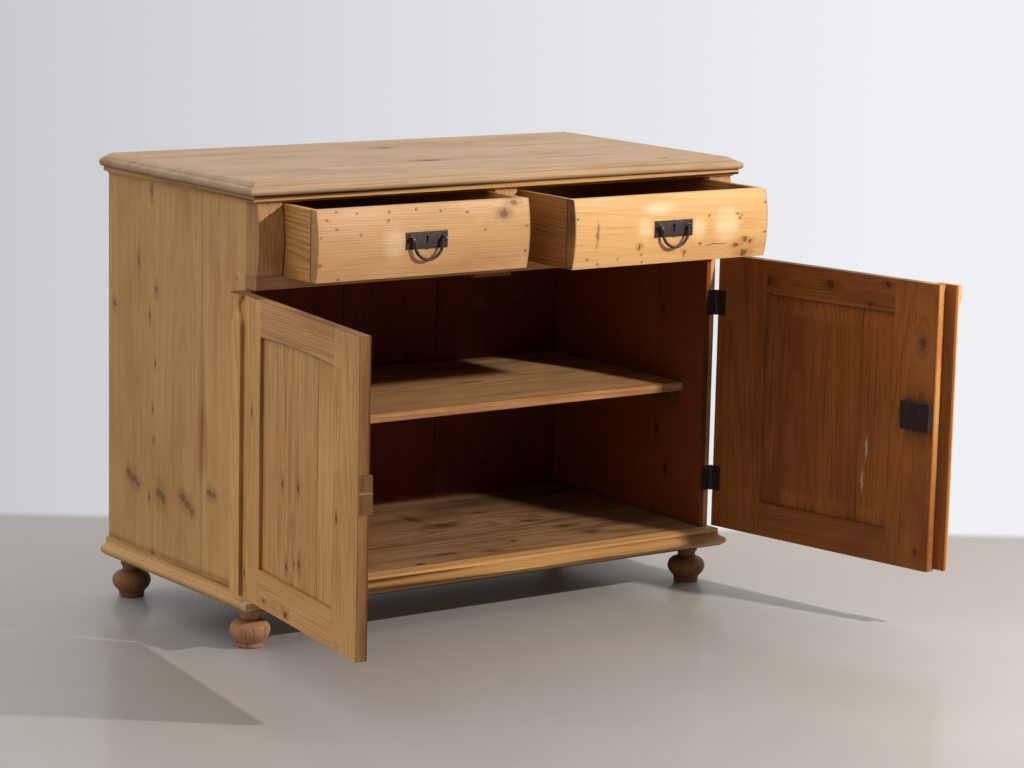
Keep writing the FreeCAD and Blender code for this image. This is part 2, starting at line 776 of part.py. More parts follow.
def hinge_leaf(name, hand, place, on_door):
    """One leaf of a lift-off hinge, about its pin: lower knuckle on the carcass, upper one on the door."""
    low, high = ("door_inside - leaf_thickness", "door_inside") if on_door else (
        "hinge_gap / 2", "hinge_gap / 2 + leaf_thickness")
    plate_across = from_pin(hand, "hinge_offset", "hinge_offset + leaf_width")
    web_across = from_pin(hand, "pin_radius", "hinge_offset")
    height = knuckle_range(place, 1 if on_door else 0)
    pieces = [
        board(f"{name}_plate", plate_across, (low, high), leaf_range(place)),
        board(f"{name}_web", web_across, (low, high), height),
        rod(f"{name}_knuckle", "knuckle_radius", "0", "0", height),
    ]
    bore = rod(f"{name}_bore", "pin_radius + pin_clearance", "0", "0", leaf_range(place))
    return cut(name, joined(f"{name}_whole", pieces), [bore])


def make_hinges():
    """Two lift-off hinges a door: leaves let into the carcass, leaves let into the door, and the pins."""
    frame_leaves = []
    pins = []
    for hand in HANDS:
        pin_across = mirrored(hand, "hinge_across", "hinge_across")[0]
        door_leaves = []
        for place in ("upper", "lower"):
            frame_leaf = hinge_leaf(f"{hand}_{place}_frame_leaf", hand, place, False)
            frame_leaves.append(stand(frame_leaf, pin_across, "hinge_depth"))
            door_leaves.append(hang(hinge_leaf(f"{hand}_{place}_door_leaf", hand, place, True), hand))
            pin = rod(f"{hand}_{place}_pin", "pin_radius", pin_across, "hinge_depth", leaf_range(place))
            pins.append(pin)
        node(group(f"{hand}_leaf_group", door_leaves), f"{hand}_door_hinge_leaves")
    node(group("frame_leaf_group", frame_leaves), "hinge_frame_leaves")
    node(group("pin_group", pins), "hinge_pins")


def make_stiles(hand):
    """A door's two stiles, grooved along their inner edges for the panel and the rails."""
    hinge = [
        ("hinge_offset", "door_face"), ("opening_near", "door_face"), ("opening_near", "groove_front"),
        ("opening_near - groove_depth", "groove_front"), ("opening_near - groove_depth", "groove_back"),
        ("opening_near", "groove_back"), ("opening_near", "door_inside"), ("hinge_offset", "door_inside"),
    ]
    meeting = [
        ("door_edge", "door_inside"), ("opening_far", "door_inside"), ("opening_far", "groove_back"),
        ("opening_far + groove_depth", "groove_back"), ("opening_far + groove_depth", "groove_front"),
        ("opening_far", "groove_front"), ("opening_far", "door_face"), ("door_edge", "door_face"),
    ]
    if hand == "right":
        hinge, meeting = flipped(hinge), flipped(meeting)
    hinge_stile = prism(f"{hand}_hinge_stile", "XY_Plane", hinge, "door_bottom", "door_top")
    for place in ("upper", "lower"):
        recess = rectangle(from_pin(hand, "hinge_offset", "hinge_offset + leaf_width"), leaf_range(place))
        carve(hinge_stile, "XZ_Plane", recess, "door_inside - leaf_thickness", "door_inside")
    node(hang(hinge_stile, hand), f"{hand}_door_hinge_stile")
    meeting_stile = prism(f"{hand}_meeting_stile", "XY_Plane", meeting, "door_bottom", "door_top")
    if hand == "left":
        notch = rectangle(("door_edge - keeper_width", "door_edge"), about("keeper_level", "keeper_height"))
        carve(meeting_stile, "XZ_Plane", notch, "door_face + keeper_cover", "door_inside")
    else:
        carve(meeting_stile, "XZ_Plane", door_keyhole(), "door_face", "door_inside")
    node(hang(meeting_stile, hand), f"{hand}_door_meeting_stile")


def door_keyhole():
    """The keyhole of the right door, seen from its hinge pin."""
    across = from_pin("right", *about("door_edge - key_inset", "keyhole_width"))
    return rectangle(across, about("lock_level", "keyhole_height"))


def make_rails(hand):
    """A door's rails: tongued into the stiles, grooved for the panel, the top one with an arched lip."""
    plan = [
        ("opening_near", "door_face"), ("opening_far", "door_face"), ("opening_far", "groove_front"),
        ("opening_far + groove_depth", "groove_front"), ("opening_far + groove_depth", "groove_back"),
        ("opening_far", "groove_back"), ("opening_far", "door_inside"), ("opening_near", "door_inside"),
        ("opening_near", "groove_back"), ("opening_near - groove_depth", "groove_back"),
        ("opening_near - groove_depth", "groove_front"), ("opening_near", "groove_front"),
    ]
    arch = [("opening_near", "opening_top"), ("opening_far", "opening_top", "arch_radius", 1)]
    if hand == "right":
        plan, arch = flipped(plan), flipped(arch)
    length = from_pin(hand, "opening_near - groove_depth", "opening_far + groove_depth")
    top_rail = prism(f"{hand}_top_rail", "XY_Plane", plan, "opening_top", "door_top")
    groove = rectangle(("groove_front", "groove_back"), ("opening_top", "opening_top + groove_depth"))
    carve(top_rail, "YZ_Plane", groove, *length)
    carve(top_rail, "XZ_Plane", arch, "door_face", "groove_front")
    node(hang(top_rail, hand), f"{hand}_door_top_rail")
    bottom_rail = prism(f"{hand}_bottom_rail", "XY_Plane", plan, "door_bottom", "opening_bottom")
    groove = rectangle(("groove_front", "groove_back"), ("opening_bottom - groove_depth", "opening_bottom"))
    carve(bottom_rail, "YZ_Plane", groove, *length)
    node(hang(bottom_rail, hand), f"{hand}_door_bottom_rail")


def make_panel(hand):
    """A door's panel: flat outside, with a raised and bevelled field inside."""
    edge = "groove_depth - panel_margin"
    across = from_pin(hand, f"opening_near - ({edge})", f"opening_far + {edge}")
    plate = board(f"{hand}_panel_plate", across, ("groove_front + panel_slack", "groove_back - panel_slack"),
                  (f"opening_bottom - ({edge})", f"opening_top + {edge}"))
    field = doc.addObject("Part::Wedge", f"{hand}_panel_field")
    foot = from_pin(hand, "opening_near + field_border", "opening_far - field_border")
    inset = "(field_border + field_bevel)"
    crest = from_pin(hand, f"opening_near + {inset}", f"opening_far - {inset}")
    limits = {
        "Xmin": foot[0], "Xmax": foot[1], "X2min": crest[0], "X2max": crest[1],
        "Ymin": "groove_back - panel_slack", "Ymax": "groove_back - panel_slack + field_height",
        "Zmin": "opening_bottom + field_border", "Zmax": "opening_top - field_border",
        "Z2min": f"opening_bottom + {inset}", "Z2max": f"opening_top - {inset}",
    }
    for limit, text in limits.items():
        field.setExpression(limit, formula(text))
    node(hang(joined(f"{hand}_fielded_panel", [plate, field]), hand), f"{hand}_door_panel")


def make_pilaster(hand):
    """An applied strip on a hinge stile: a thin block over a waisted neck, made by crossing two outlines."""
    name = f"{hand}_door_pilaster"
    middle = "(hinge_offset + pilaster_edge_margin + pilaster_width / 2)"
    half, neck, swell = "pilaster_width / 2", "neck_width / 2", "(pilaster_width + neck_width) / 4"
    foot = "door_bottom + strip_foot_margin"
    flare, waist, block = "door_top - flare_drop", "door_top - neck_drop", "door_top - capital_height"
    turn = "door_top - (flare_drop + neck_drop) / 2"
    front_arc = upright_arc("(pilaster_width - neck_width) / 4", "(flare_drop - neck_drop) / 2")
    side_arc = upright_arc("(pilaster_thickness - neck_thickness) / 2", "(flare_drop - neck_drop) / 2")
    front_outline = [
        (f"{middle} - {half}", foot), (f"{middle} + {half}", foot),
        (f"{middle} + {half}", flare, front_arc, 1), (f"{middle} + {swell}", turn, front_arc, -1),
        (f"{middle} + {neck}", waist), (f"{middle} + {half}", block), (f"{middle} + {half}", "door_top"),
        (f"{middle} - {half}", "door_top"), (f"{middle} - {half}", block),
        (f"{middle} - {neck}", waist, front_arc, -1), (f"{middle} - {swell}", turn, front_arc, 1),
        (f"{middle} - {half}", flare),
    ]
    side_outline = [
        ("door_face - pilaster_thickness", foot), ("door_face", foot), ("door_face", "door_top"),
        ("door_face - capital_thickness", "door_top"), ("door_face - capital_thickness", block),
        ("door_face - neck_thickness", waist, side_arc, -1),
        ("door_face - (pilaster_thickness + neck_thickness) / 2", turn, side_arc, 1),
        ("door_face - pilaster_thickness", flare),
    ]
    front_outline = flipped(front_outline) if hand == "right" else front_outline
    across = from_pin(hand, f"{middle} - {half}", f"{middle} + {half}")
    depth = ("door_face - capital_thickness", "door_face")
    from_front = prism(f"{name}_front", "XZ_Plane", front_outline, *depth)
    from_side = prism(f"{name}_side", "YZ_Plane", side_outline, *across)
    node(hang(common(f"{name}_carved", from_front, from_side), hand), name)


def make_astragal():
    """The strip that covers the joint between the doors: a sloped capital and a bead over a plain shaft."""
    foot = "door_bottom + strip_foot_margin"
    shaft, capital = "door_face - astragal_thickness", "door_face - astragal_capital_thickness"
    bead_high = "door_top - astragal_bead_drop"
    bead_low = f"{bead_high} - astragal_bead_height"
    bead_arc = upright_arc("astragal_bead_bulge", "astragal_bead_height / 2")
    section = [
        (shaft, foot), ("door_face", foot), ("door_face", "door_top"), (capital, "door_top"),
        (capital, "door_top - astragal_capital_height"), (shaft, "door_top - astragal_slope_drop"),
        (shaft, bead_high, bead_arc, 1), (shaft, bead_low),
    ]
    middle = "door_edge + meeting_gap / 2"
    across = from_pin("right", *about(middle, "astragal_width"))
    strip = prism("astragal", "YZ_Plane", section, *across)
    relief = rectangle(from_pin("right", "door_edge", f"{middle} + astragal_width / 2"), (foot, "door_top"))
    carve(strip, "XZ_Plane", relief, "door_face - astragal_clearance", "door_face")
    node(hang(strip, "right"), "right_door_astragal")


def make_door_lock():
    """The rim lock in the right door with its bolt and key plate, and the keeper that it shoots behind."""
    depth = about("bolt_depth", "bolt_thickness")
    height = about("lock_level", "bolt_height")
    case = board("lock_case", from_pin("right", "door_edge - lock_width", "door_edge"),
                 ("door_inside", "door_inside + lock_thickness"), about("lock_level", "lock_height"))
    slot = board("lock_slot", from_pin("right", "door_edge - bolt_length - bolt_slack", "door_edge"),
                 about("bolt_depth", "(bolt_thickness + 2 * bolt_slack)"),
                 about("lock_level", "(bolt_height + 2 * bolt_slack)"))
    node(hang(cut("slotted_lock", case, [slot]), "right"), "right_door_lock")
    bolt_outline = rectangle(from_pin("right", "door_edge - bolt_length", "door_edge"), height)
    node(hang(prism("door_bolt", "XZ_Plane", bolt_outline, *depth), "right"), "right_door_bolt")
    plate_outline = rectangle(from_pin("right", *about("door_edge - key_inset", "escutcheon_width")),
                              about("lock_level", "escutcheon_height"))
    skin = ("door_face - escutcheon_thickness", "door_face")
    plate = prism("key_plate", "XZ_Plane", plate_outline, *skin)
    carve(plate, "XZ_Plane", door_keyhole(), *skin)
    node(hang(plate, "right"), "right_door_escutcheon")
    low, high = about("keeper_level", "keeper_height")
    back, proud = "door_face + keeper_cover", "door_inside + keeper_proud"
    section = [
        (back, low), (proud, low), (proud, f"{high} - keeper_round", "keeper_round", 1),
        (f"{proud} - keeper_round", high), (back, high),
    ]
    keeper = prism("keeper", "YZ_Plane", section, "door_edge - keeper_width", "door_edge")
    node(hang(keeper, "left"), "left_door_keeper")


def drawer_keyhole(middle):
    """A drawer's keyhole: a narrow slot under a round head."""
    slot, head = "keyhole_width / 4", "keyhole_width / 2"
    low, shoulder = "key_level - keyhole_height / 2", "key_level + keyhole_height / 4"
    return [
        (f"{middle} - {slot}", low), (f"{middle} + {slot}", low), (f"{middle} + {slot}", "key_level"),
        (f"{middle} + {head}", shoulder, "keyhole_width * 0.55", 1), (f"{middle} - {head}", shoulder),
        (f"{middle} - {slot}", "key_level"),
    ]


def make_drawer_box(hand):
    """A drawer: bowed face, grooved sides, a back over the bottom board, and the bottom in its grooves."""
    pull = f"{hand}_drawer_pull"
    middle = mirrored(hand, "drawer_middle", "drawer_middle")[0]
    section = bowed_outline("face_back", "drawer_bottom", "drawer_top")
    face = prism(f"{hand}_face", "YZ_Plane", section, *mirrored(hand, "drawer_inner", "drawer_outer"))
    groove = rectangle(("face_back - drawer_groove_depth", "face_back"), ("panel_level", "panel_roof"))
    inside = mirrored(hand, "drawer_inner + drawer_side_thickness - drawer_groove_depth",
                      "drawer_outer - drawer_side_thickness + drawer_groove_depth")
    carve(face, "YZ_Plane", groove, *inside)
    carve(face, "XZ_Plane", drawer_keyhole(middle), "bow_crown", "face_back")
    node(draw_out(face, hand), f"{hand}_drawer_face")
    inner_slot = ("drawer_inner + drawer_side_thickness - drawer_groove_depth",
                  "drawer_inner + drawer_side_thickness")
    outer_slot = ("drawer_outer - drawer_side_thickness",
                  "drawer_outer - drawer_side_thickness + drawer_groove_depth")
    sides = []
    for place, across, slot_across in (
        ("inner", ("drawer_inner", "drawer_inner + drawer_side_thickness"), inner_slot),
        ("outer", ("drawer_outer - drawer_side_thickness", "drawer_outer"), outer_slot),
    ):
        cheek = board(f"{hand}_{place}_cheek", mirrored(hand, *across), ("face_back", "drawer_rear"),
                      ("drawer_bottom", "drawer_top"))
        slot = board(f"{hand}_{place}_slot", mirrored(hand, *slot_across), ("face_back", "drawer_rear"),
                     ("panel_level", "panel_roof"))
        sides.append(draw_out(cut(f"{hand}_{place}_side", cheek, [slot]), hand))
    node(group(f"{hand}_side_group", sides), f"{hand}_drawer_sides")
    between = mirrored(hand, "drawer_inner + drawer_side_thickness", "drawer_outer - drawer_side_thickness")
    node(board(f"{hand}_back_board", between,
               (f"drawer_rear - drawer_back_thickness - {pull}", f"drawer_rear - {pull}"),
               ("panel_roof", "drawer_top - drawer_back_drop")), f"{hand}_drawer_back")
    reach = "drawer_groove_depth - drawer_bottom_margin"
    across = mirrored(hand, f"drawer_inner + drawer_side_thickness - ({reach})",
                      f"drawer_outer - drawer_side_thickness + {reach}")
    node(board(f"{hand}_bottom_board", across, (f"face_back - ({reach}) - {pull}", f"drawer_rear - {pull}"),
               ("panel_level", "panel_roof")), f"{hand}_drawer_bottom")


def make_drawer_lock(hand):
    """The lock behind a drawer's keyhole, with the bolt that rises into the strip over the drawer."""
    case = board(f"{hand}_lock_case", mirrored(hand, *about("drawer_middle", "drawer_lock_width")),
                 ("face_back", "face_back + drawer_lock_thickness"),
                 ("drawer_lock_top - drawer_lock_height", "drawer_lock_top"))
    slot = board(f"{hand}_lock_slot",
                 mirrored(hand, *about("drawer_middle", "(drawer_bolt_width + 2 * bolt_slack)")),
                 about("drawer_bolt_depth", "(drawer_bolt_thickness + 2 * bolt_slack)"),
                 ("drawer_lock_top - drawer_bolt_length - bolt_slack", "drawer_lock_top"))
    node(draw_out(cut(f"{hand}_slotted_lock", case, [slot]), hand), f"{hand}_drawer_lock")
    plan = rectangle(mirrored(hand, *about("drawer_middle", "drawer_bolt_width")),
                     about("drawer_bolt_depth", "drawer_bolt_thickness"))
    bolt = prism(f"{hand}_bolt", "XY_Plane", plan, "drawer_lock_top - drawer_bolt_length", "drawer_lock_top")
    node(draw_out(bolt, hand), f"{hand}_drawer_bolt")


def make_handle(hand):
    """A drop handle: an iron plate bent to the bow, two eyes, and a half-round bail that hangs in them."""
    middle = mirrored(hand, "drawer_middle", "drawer_middle")[0]
    low, high = about("frieze_mid", "plate_height")
    skin = "plate_thickness"
    section = [
        (bow(low), low, "bow_radius", -1), (bow(high), high),
        (bow(high, skin), high, f"bow_radius + {skin}", 1), (bow(low, skin), low),
    ]
    plate = prism(f"{hand}_plate", "YZ_Plane", section, *about(middle, "plate_width"))
    carve(plate, "XZ_Plane", drawer_keyhole(middle), "plate_front", "bow_crown + plate_thickness")
    pieces = [draw_out(plate, hand)]
    for end in HANDS:
        inner, outer = mirrored(end, "eye_inner", "eye_outer")
        across = (f"{middle} + {inner}", f"{middle} + {outer}")
        name = f"{hand}_{end}"
        lug = board(f"{name}_lug", across, ("bail_depth - eye_radius", "plate_front"),
                    about("bail_level", "(2 * eye_radius)"))
        bore_radius = "bail_pivot_radius + bail_pivot_clearance"
        bore = rod(f"{name}_bore", bore_radius, across, "bail_depth", "bail_level")
        pieces.append(draw_out(cut(f"{name}_eye", lug, [bore]), hand))
    node(group(f"{hand}_plate_group", pieces), f"{hand}_drawer_plate")
    make_bail(hand, middle)


def make_bail(hand, middle):
    """The bail of a drop handle: a bar bent round below two legs, with a pivot at the top of each leg."""
    leg_top = "bail_leg_length + bail_wire_radius"
    rings = [("bail_wire_radius", "bail_radius", leg_top, "0")]
    for step in range(BEND_STEPS + 1):
        turn = f"({step} * 180 / {BEND_STEPS})"
        swing = f"({turn} * 1 deg)"
        rings.append(("bail_wire_radius", f"bail_radius * cos{swing}", f"-bail_radius * sin{swing}", turn))
    rings.append(("bail_wire_radius", "-bail_radius", leg_top, "180"))
    bar = ringed(f"{hand}_bail_bar", BAR_SIDES, rings)
    bar.setExpression("Placement", formula(
        f"placement(vector({middle}; bail_depth; bail_centre); rotation(vector(0; 0; 1); 0))"))
    pieces = [bar]
    for end in HANDS:
        inner, outer = mirrored(end, "bail_radius", "eye_outer + eye_gap")
        span = (f"{middle} + {inner}", f"{middle} + {outer}")
        pieces.append(rod(f"{hand}_{end}_pivot", "bail_pivot_radius", span, "bail_depth", "bail_level"))
    node(draw_out(joined(f"{hand}_bent_bail", pieces), hand), f"{hand}_drawer_bail")


def make_cupboard():
    """Every sub-part of the cupboard."""
    make_top()
    make_mouldings()
    make_sides()
    make_back()
    make_base()
    make_frieze()
    make_runners()
    make_shelf()
    make_hinges()
    for hand in HANDS:
        make_stiles(hand)
        make_rails(hand)
        make_panel(hand)
        make_drawer_box(hand)
        make_drawer_lock(hand)
        make_handle(hand)
        make_pilaster(hand)
    make_astragal()
    make_door_lock()


def check_model():
    """Stop if an object failed, a pocket cut nothing, or a sub-part isn't a whole solid."""
    for item in doc.Objects:
        if "Invalid" in item.State or "Error" in item.State:
            raise RuntimeError(f"{item.Label} failed to build")
        if item.TypeId == "PartDesign::Pocket" and item.Shape.Volume >= item.BaseFeature.Shape.Volume:
            raise RuntimeError(f"{item.Label} cut nothing")
    for piece in nodes:
        if piece.Shape.isNull() or not piece.Shape.isValid() or not piece.Shape.Solids:
            raise RuntimeError(f"{piece.Label} isn't a valid solid")


make_cupboard()
doc.recompute()
check_model()
os.makedirs("parts", exist_ok=True)
for piece in nodes:
    piece.Shape.exportStep(os.path.join("parts", f"{piece.Label}.step"))
print(f"{len(nodes)} sub-parts, {sum(len(piece.Shape.Solids) for piece in nodes)} solids")
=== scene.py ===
"""Stripped-pine cupboard: two bowed drawers over two panelled doors, dressed in waxed pine and dark iron."""
import logging
import math
from dataclasses import dataclass, field
from enum import Enum

import bmesh
import bpy
from mathutils import Matrix, Vector


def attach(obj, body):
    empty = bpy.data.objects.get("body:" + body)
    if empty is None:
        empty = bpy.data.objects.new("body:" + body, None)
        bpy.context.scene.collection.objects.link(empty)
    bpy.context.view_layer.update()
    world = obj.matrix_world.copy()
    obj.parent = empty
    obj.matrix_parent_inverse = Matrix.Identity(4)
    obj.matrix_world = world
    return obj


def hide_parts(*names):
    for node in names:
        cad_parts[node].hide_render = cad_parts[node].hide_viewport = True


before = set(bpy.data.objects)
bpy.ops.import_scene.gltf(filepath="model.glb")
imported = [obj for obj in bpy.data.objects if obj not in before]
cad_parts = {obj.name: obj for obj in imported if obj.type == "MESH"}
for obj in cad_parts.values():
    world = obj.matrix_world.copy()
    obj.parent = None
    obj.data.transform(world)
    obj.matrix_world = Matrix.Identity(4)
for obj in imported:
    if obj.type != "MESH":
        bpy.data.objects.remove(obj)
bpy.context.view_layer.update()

LOG = logging.getLogger("pine_cupboard")
MM = 0.001
UP = (0.0, 0.0, 1.0)
WIDE = (1.0, 0.0, 0.0)
DEEP = (0.0, 1.0, 0.0)
FORWARD = (0.0, -1.0, 0.0)
FULL_TURN = 2 * math.pi
NO_DRIFT = (0.0, 0.0, 0.0)

# Points nearer than these, in metres, become one: in new pieces, and in CAD pieces.
MERGE_REACH = 1e-6
WELD_REACH = 1e-5
# Edges that turn less than the first angle are shaded smooth; those that turn more than the second are worn.
SMOOTH_UNDER = math.radians(40)
WORN_OVER = math.radians(35)

# The hinges' levels in mm, and the places, radius and height of the three screw heads on each leaf.
HINGE_LEVELS = (605.0, 227.0)
SCREW_LIFTS = (-17.0, 0.0, 17.0)
SCREW_HEAD = (2.7, 0.3)

Triple = tuple[float, float, float]
Spot = tuple[float, float, float, float]
Band = tuple[int, float, float, float]
Socket = bpy.types.NodeSocket
Tree = bpy.types.NodeTree


def linear(code: str) -> tuple[float, float, float, float]:
    """Turns an sRGB hex colour to the linear one that shaders take.

    Args:
        code: The colour, as "#rrggbb".

    Returns:
        Linear red, green and blue, with an alpha of 1.
    """
    parts = [int(code[i:i + 2], 16) / 255 for i in (1, 3, 5)]
    return tuple(c / 12.92 if c <= 0.04045 else ((c + 0.055) / 1.055) ** 2.4 for c in parts) + (1.0,)


def add(tree: Tree, kind: str, inputs: dict | None = None, out: int = 0,
        **settings: object) -> Socket | None:
    """Adds one node with its settings, links and constants.

    Args:
        tree: The tree it joins.
        kind: Its type, where a shader node's goes without the leading "ShaderNode".
        inputs: A socket to link from, or a constant, for each input by name or number.
        out: Which output to give back.
        **settings: The node's own options.

    Returns:
        The chosen output socket, or None for a node without one.
    """
    node = tree.nodes.new(kind if "Node" in kind else "ShaderNode" + kind)
    for name, value in settings.items():
        setattr(node, name, value)
    for key, value in (inputs or {}).items():
        if isinstance(value, bpy.types.NodeSocket):
            tree.links.new(value, node.inputs[key])
        else:
            node.inputs[key].default_value = value
    return node.outputs[out] if len(node.outputs) else None


def blank(name: str) -> tuple[bpy.types.Material, Tree]:
    """Makes a material with an empty node tree.

    Args:
        name: The material's name.

    Returns:
        The material and its tree.
    """
    material = bpy.data.materials.new(name)
    material.use_nodes = True
    material.node_tree.nodes.clear()
    return material, material.node_tree


def per_metre(*sizes: float) -> tuple[float, ...]:
    """Gives how many of each size, in mm, go into a metre."""
    return tuple(1 / (size * MM) for size in sizes)


class Tone(Enum):
    """Ages of the pine, and darker copies painted as shade: soft early wood, hard late wood, and the stain
    that has got into it.
    """

    FRONT = ("#d5a86e", "#b98847", "#a4723e")
    # A darker copy of FRONT: painted shade on the left drawer's face, which stands farther from the lamp.
    DULL = ("#ca9e6d", "#ac7e48", "#94663a")
    CASE = ("#ce9f65", "#ad7b40", "#966739")
    AGED = ("#b58650", "#8d6236", "#734c2a")
    TOP = ("#b39472", "#927450", "#826646")
    DOOR = ("#d5a163", "#a26e35", "#8b5a2e")
    SHELF = ("#c99f70", "#9a7040", "#6c4a2b")
    INNER = ("#a9845d", "#74512f", "#4d331d")
    DARK = ("#5c3d26", "#432a18", "#2c1a0e")
    WORN = ("#7f5935", "#623f21", "#452a14")
    FOOT = ("#bb8d66", "#986a46", "#7c553b")
    SMOKED = ("#936741", "#73492b", "#56371f")
    # A dark copy painted as shade on the right drawer's sides, which sit in shade between the drawers.
    RUSSET = ("#9a6735", "#72481d", "#553415")
    RAW = ("#b0916a", "#8f7049", "#6b523a")


class Shade(Enum):
    """Colours of knots, splits, the marks that use leaves on pine, and painted shade."""

    PALE = "#f3dfbd"
    RED = "#94552c"
    BRICK = "#7c3f19"
    GREY = "#66523f"
    # Real dirt, and also painted shade: in keyholes, at the back of the case floor and shelf, and along the
    # right side's front edge.
    DIRT = "#2b1a0e"
    # Dark bands along edges: painted shade in creases and recesses, with some dirt.
    GRIME = "#3b2412"
    KNOT = "#5f3a1a"
    RIM = "#2c190b"
    SPLIT = "#2a180c"


@dataclass(frozen=True)
class Mark:
    """A mark on a board: stains, rubs and dirt, and also painted shade and painted highlights.

    Attributes:
        spot: Place along and across the board, and half its length and width, in mm.
        shade: Its colour.
        strength: How much of that colour it has at its middle; over 1 it has a solid middle.
        inside: Whether only the inside face shows it.
        square: Whether it is a rectangle with a crisp edge, and not a soft oval.
    """

    spot: Spot
    shade: Shade
    strength: float
    inside: bool = False
    square: bool = False


@dataclass(frozen=True)
class Blobs:
    """Soft blobs in the wood, drawn out along its grain.

    Attributes:
        size: Their size in mm along the grain, across it and through it.
        detail: How many finer sizes are added.
        rough: How strong the finer ones are.
    """

    size: Triple
    detail: float = 2.0
    rough: float = 0.5

    def pattern(self, tree: Tree, wood: Socket, out: int = 0) -> Socket:
        """Adds the nodes of the blobs.

        Args:
            tree: The material's nodes.
            wood: Place in the wood.
            out: Which of the noise's outputs to give back: 0 for one number, 1 for three.

        Returns:
            How strong the blobs are, from 0 to 1.
        """
        at = add(tree, "VectorMath", {0: wood, 1: per_metre(*self.size)}, operation="MULTIPLY")
        return add(tree, "TexNoise", {"Vector": at, "Scale": 1.0, "Detail": self.detail,
                                      "Roughness": self.rough}, out=out)


# How the heart wanders, the rings ripple, and streaks and cloudy stains lie. Real fibres are far thinner than
# a millimetre; they are drawn about 4 mm wide so that they show.
WANDER = Blobs((625.0, 142.86, 142.86), rough=0.45)
SWAY = Blobs((76.923, 166.67, 166.67))
FIBRE = Blobs((250.0, 4.1667, 4.1667), 3.0, 0.6)
STREAK = Blobs((500.0, 26.316, 26.316))
PATCH = Blobs((333.33, 125.0, 125.0), 4.0, 0.6)
# Spaces in mm in which one small knot may lie, and the size of the ragged edges of knots, splits and marks.
KNOT_SPACE = (227.273, 125.0, 400.0)
RAGGED = 11.111
# How far apart in the tree, in mm, boards glued side by side may come from.
BOARDS_APART = (5000.0, 70.0, 30.0)


@dataclass(frozen=True)
class Board:
    """Where a board lies: the way its grain runs, its width and the boards glued beside it. Sizes in mm.

    Attributes:
        origin: A corner or middle that suits the piece.
        along: The way the grain runs.
        across: The way its width runs.
        seams: Places across it where boards are glued.
        returns: Half width and front of the case, for a strip that turns its corners in mitres.
    """

    origin: Triple
    along: Triple
    across: Triple
    seams: tuple[float, ...] = ()
    returns: tuple[float, float] | None = None

    @staticmethod
    def turn(along: Triple, across: Triple) -> Triple:
        """Gives the turn of a board.

        Args:
            along: The way its grain runs.
            across: The way its width runs.

        Returns:
            Euler angles.
        """
        a = Vector(along).normalized()
        b = Vector(across).normalized()
        return tuple(Matrix((a, b, a.cross(b))).transposed().to_euler())

    def place(self, tree: Tree) -> Socket:
        """Adds the nodes that turn Object coordinates to the board's own.

        Args:
            tree: The material's nodes.

        Returns:
            Metres along the grain, across the width and through the thickness.
        """
        origin = tuple(v * MM for v in self.origin)
        place = add(tree, "TexCoord", out=3)
        front = add(tree, "Mapping", {0: place, 1: origin, 2: self.turn(self.along, self.across)},
                    vector_type="TEXTURE")
        if self.returns is None:
            return front
        # A mitred strip turns its grain at each front corner, along the line where the two lengths meet.
        side = add(tree, "Mapping", {0: place, 1: origin, 2: self.turn(self.across, self.along)},
                   vector_type="TEXTURE")
        half_width, front_edge = self.returns
        x = add(tree, "SeparateXYZ", {0: place})
        reach = add(tree, "Math", {0: x, 1: 0.0}, operation="ABSOLUTE")
        over = add(tree, "Math", {0: reach, 1: half_width * MM}, operation="SUBTRACT")
        before = add(tree, "Math", {0: -front_edge * MM, 1: x.node.outputs[1]}, operation="SUBTRACT")
        on_side = add(tree, "Math", {0: over, 1: before}, operation="GREATER_THAN")
        return add(tree, "Mix", {0: on_side, 4: front, 5: side}, out=1, data_type="VECTOR")


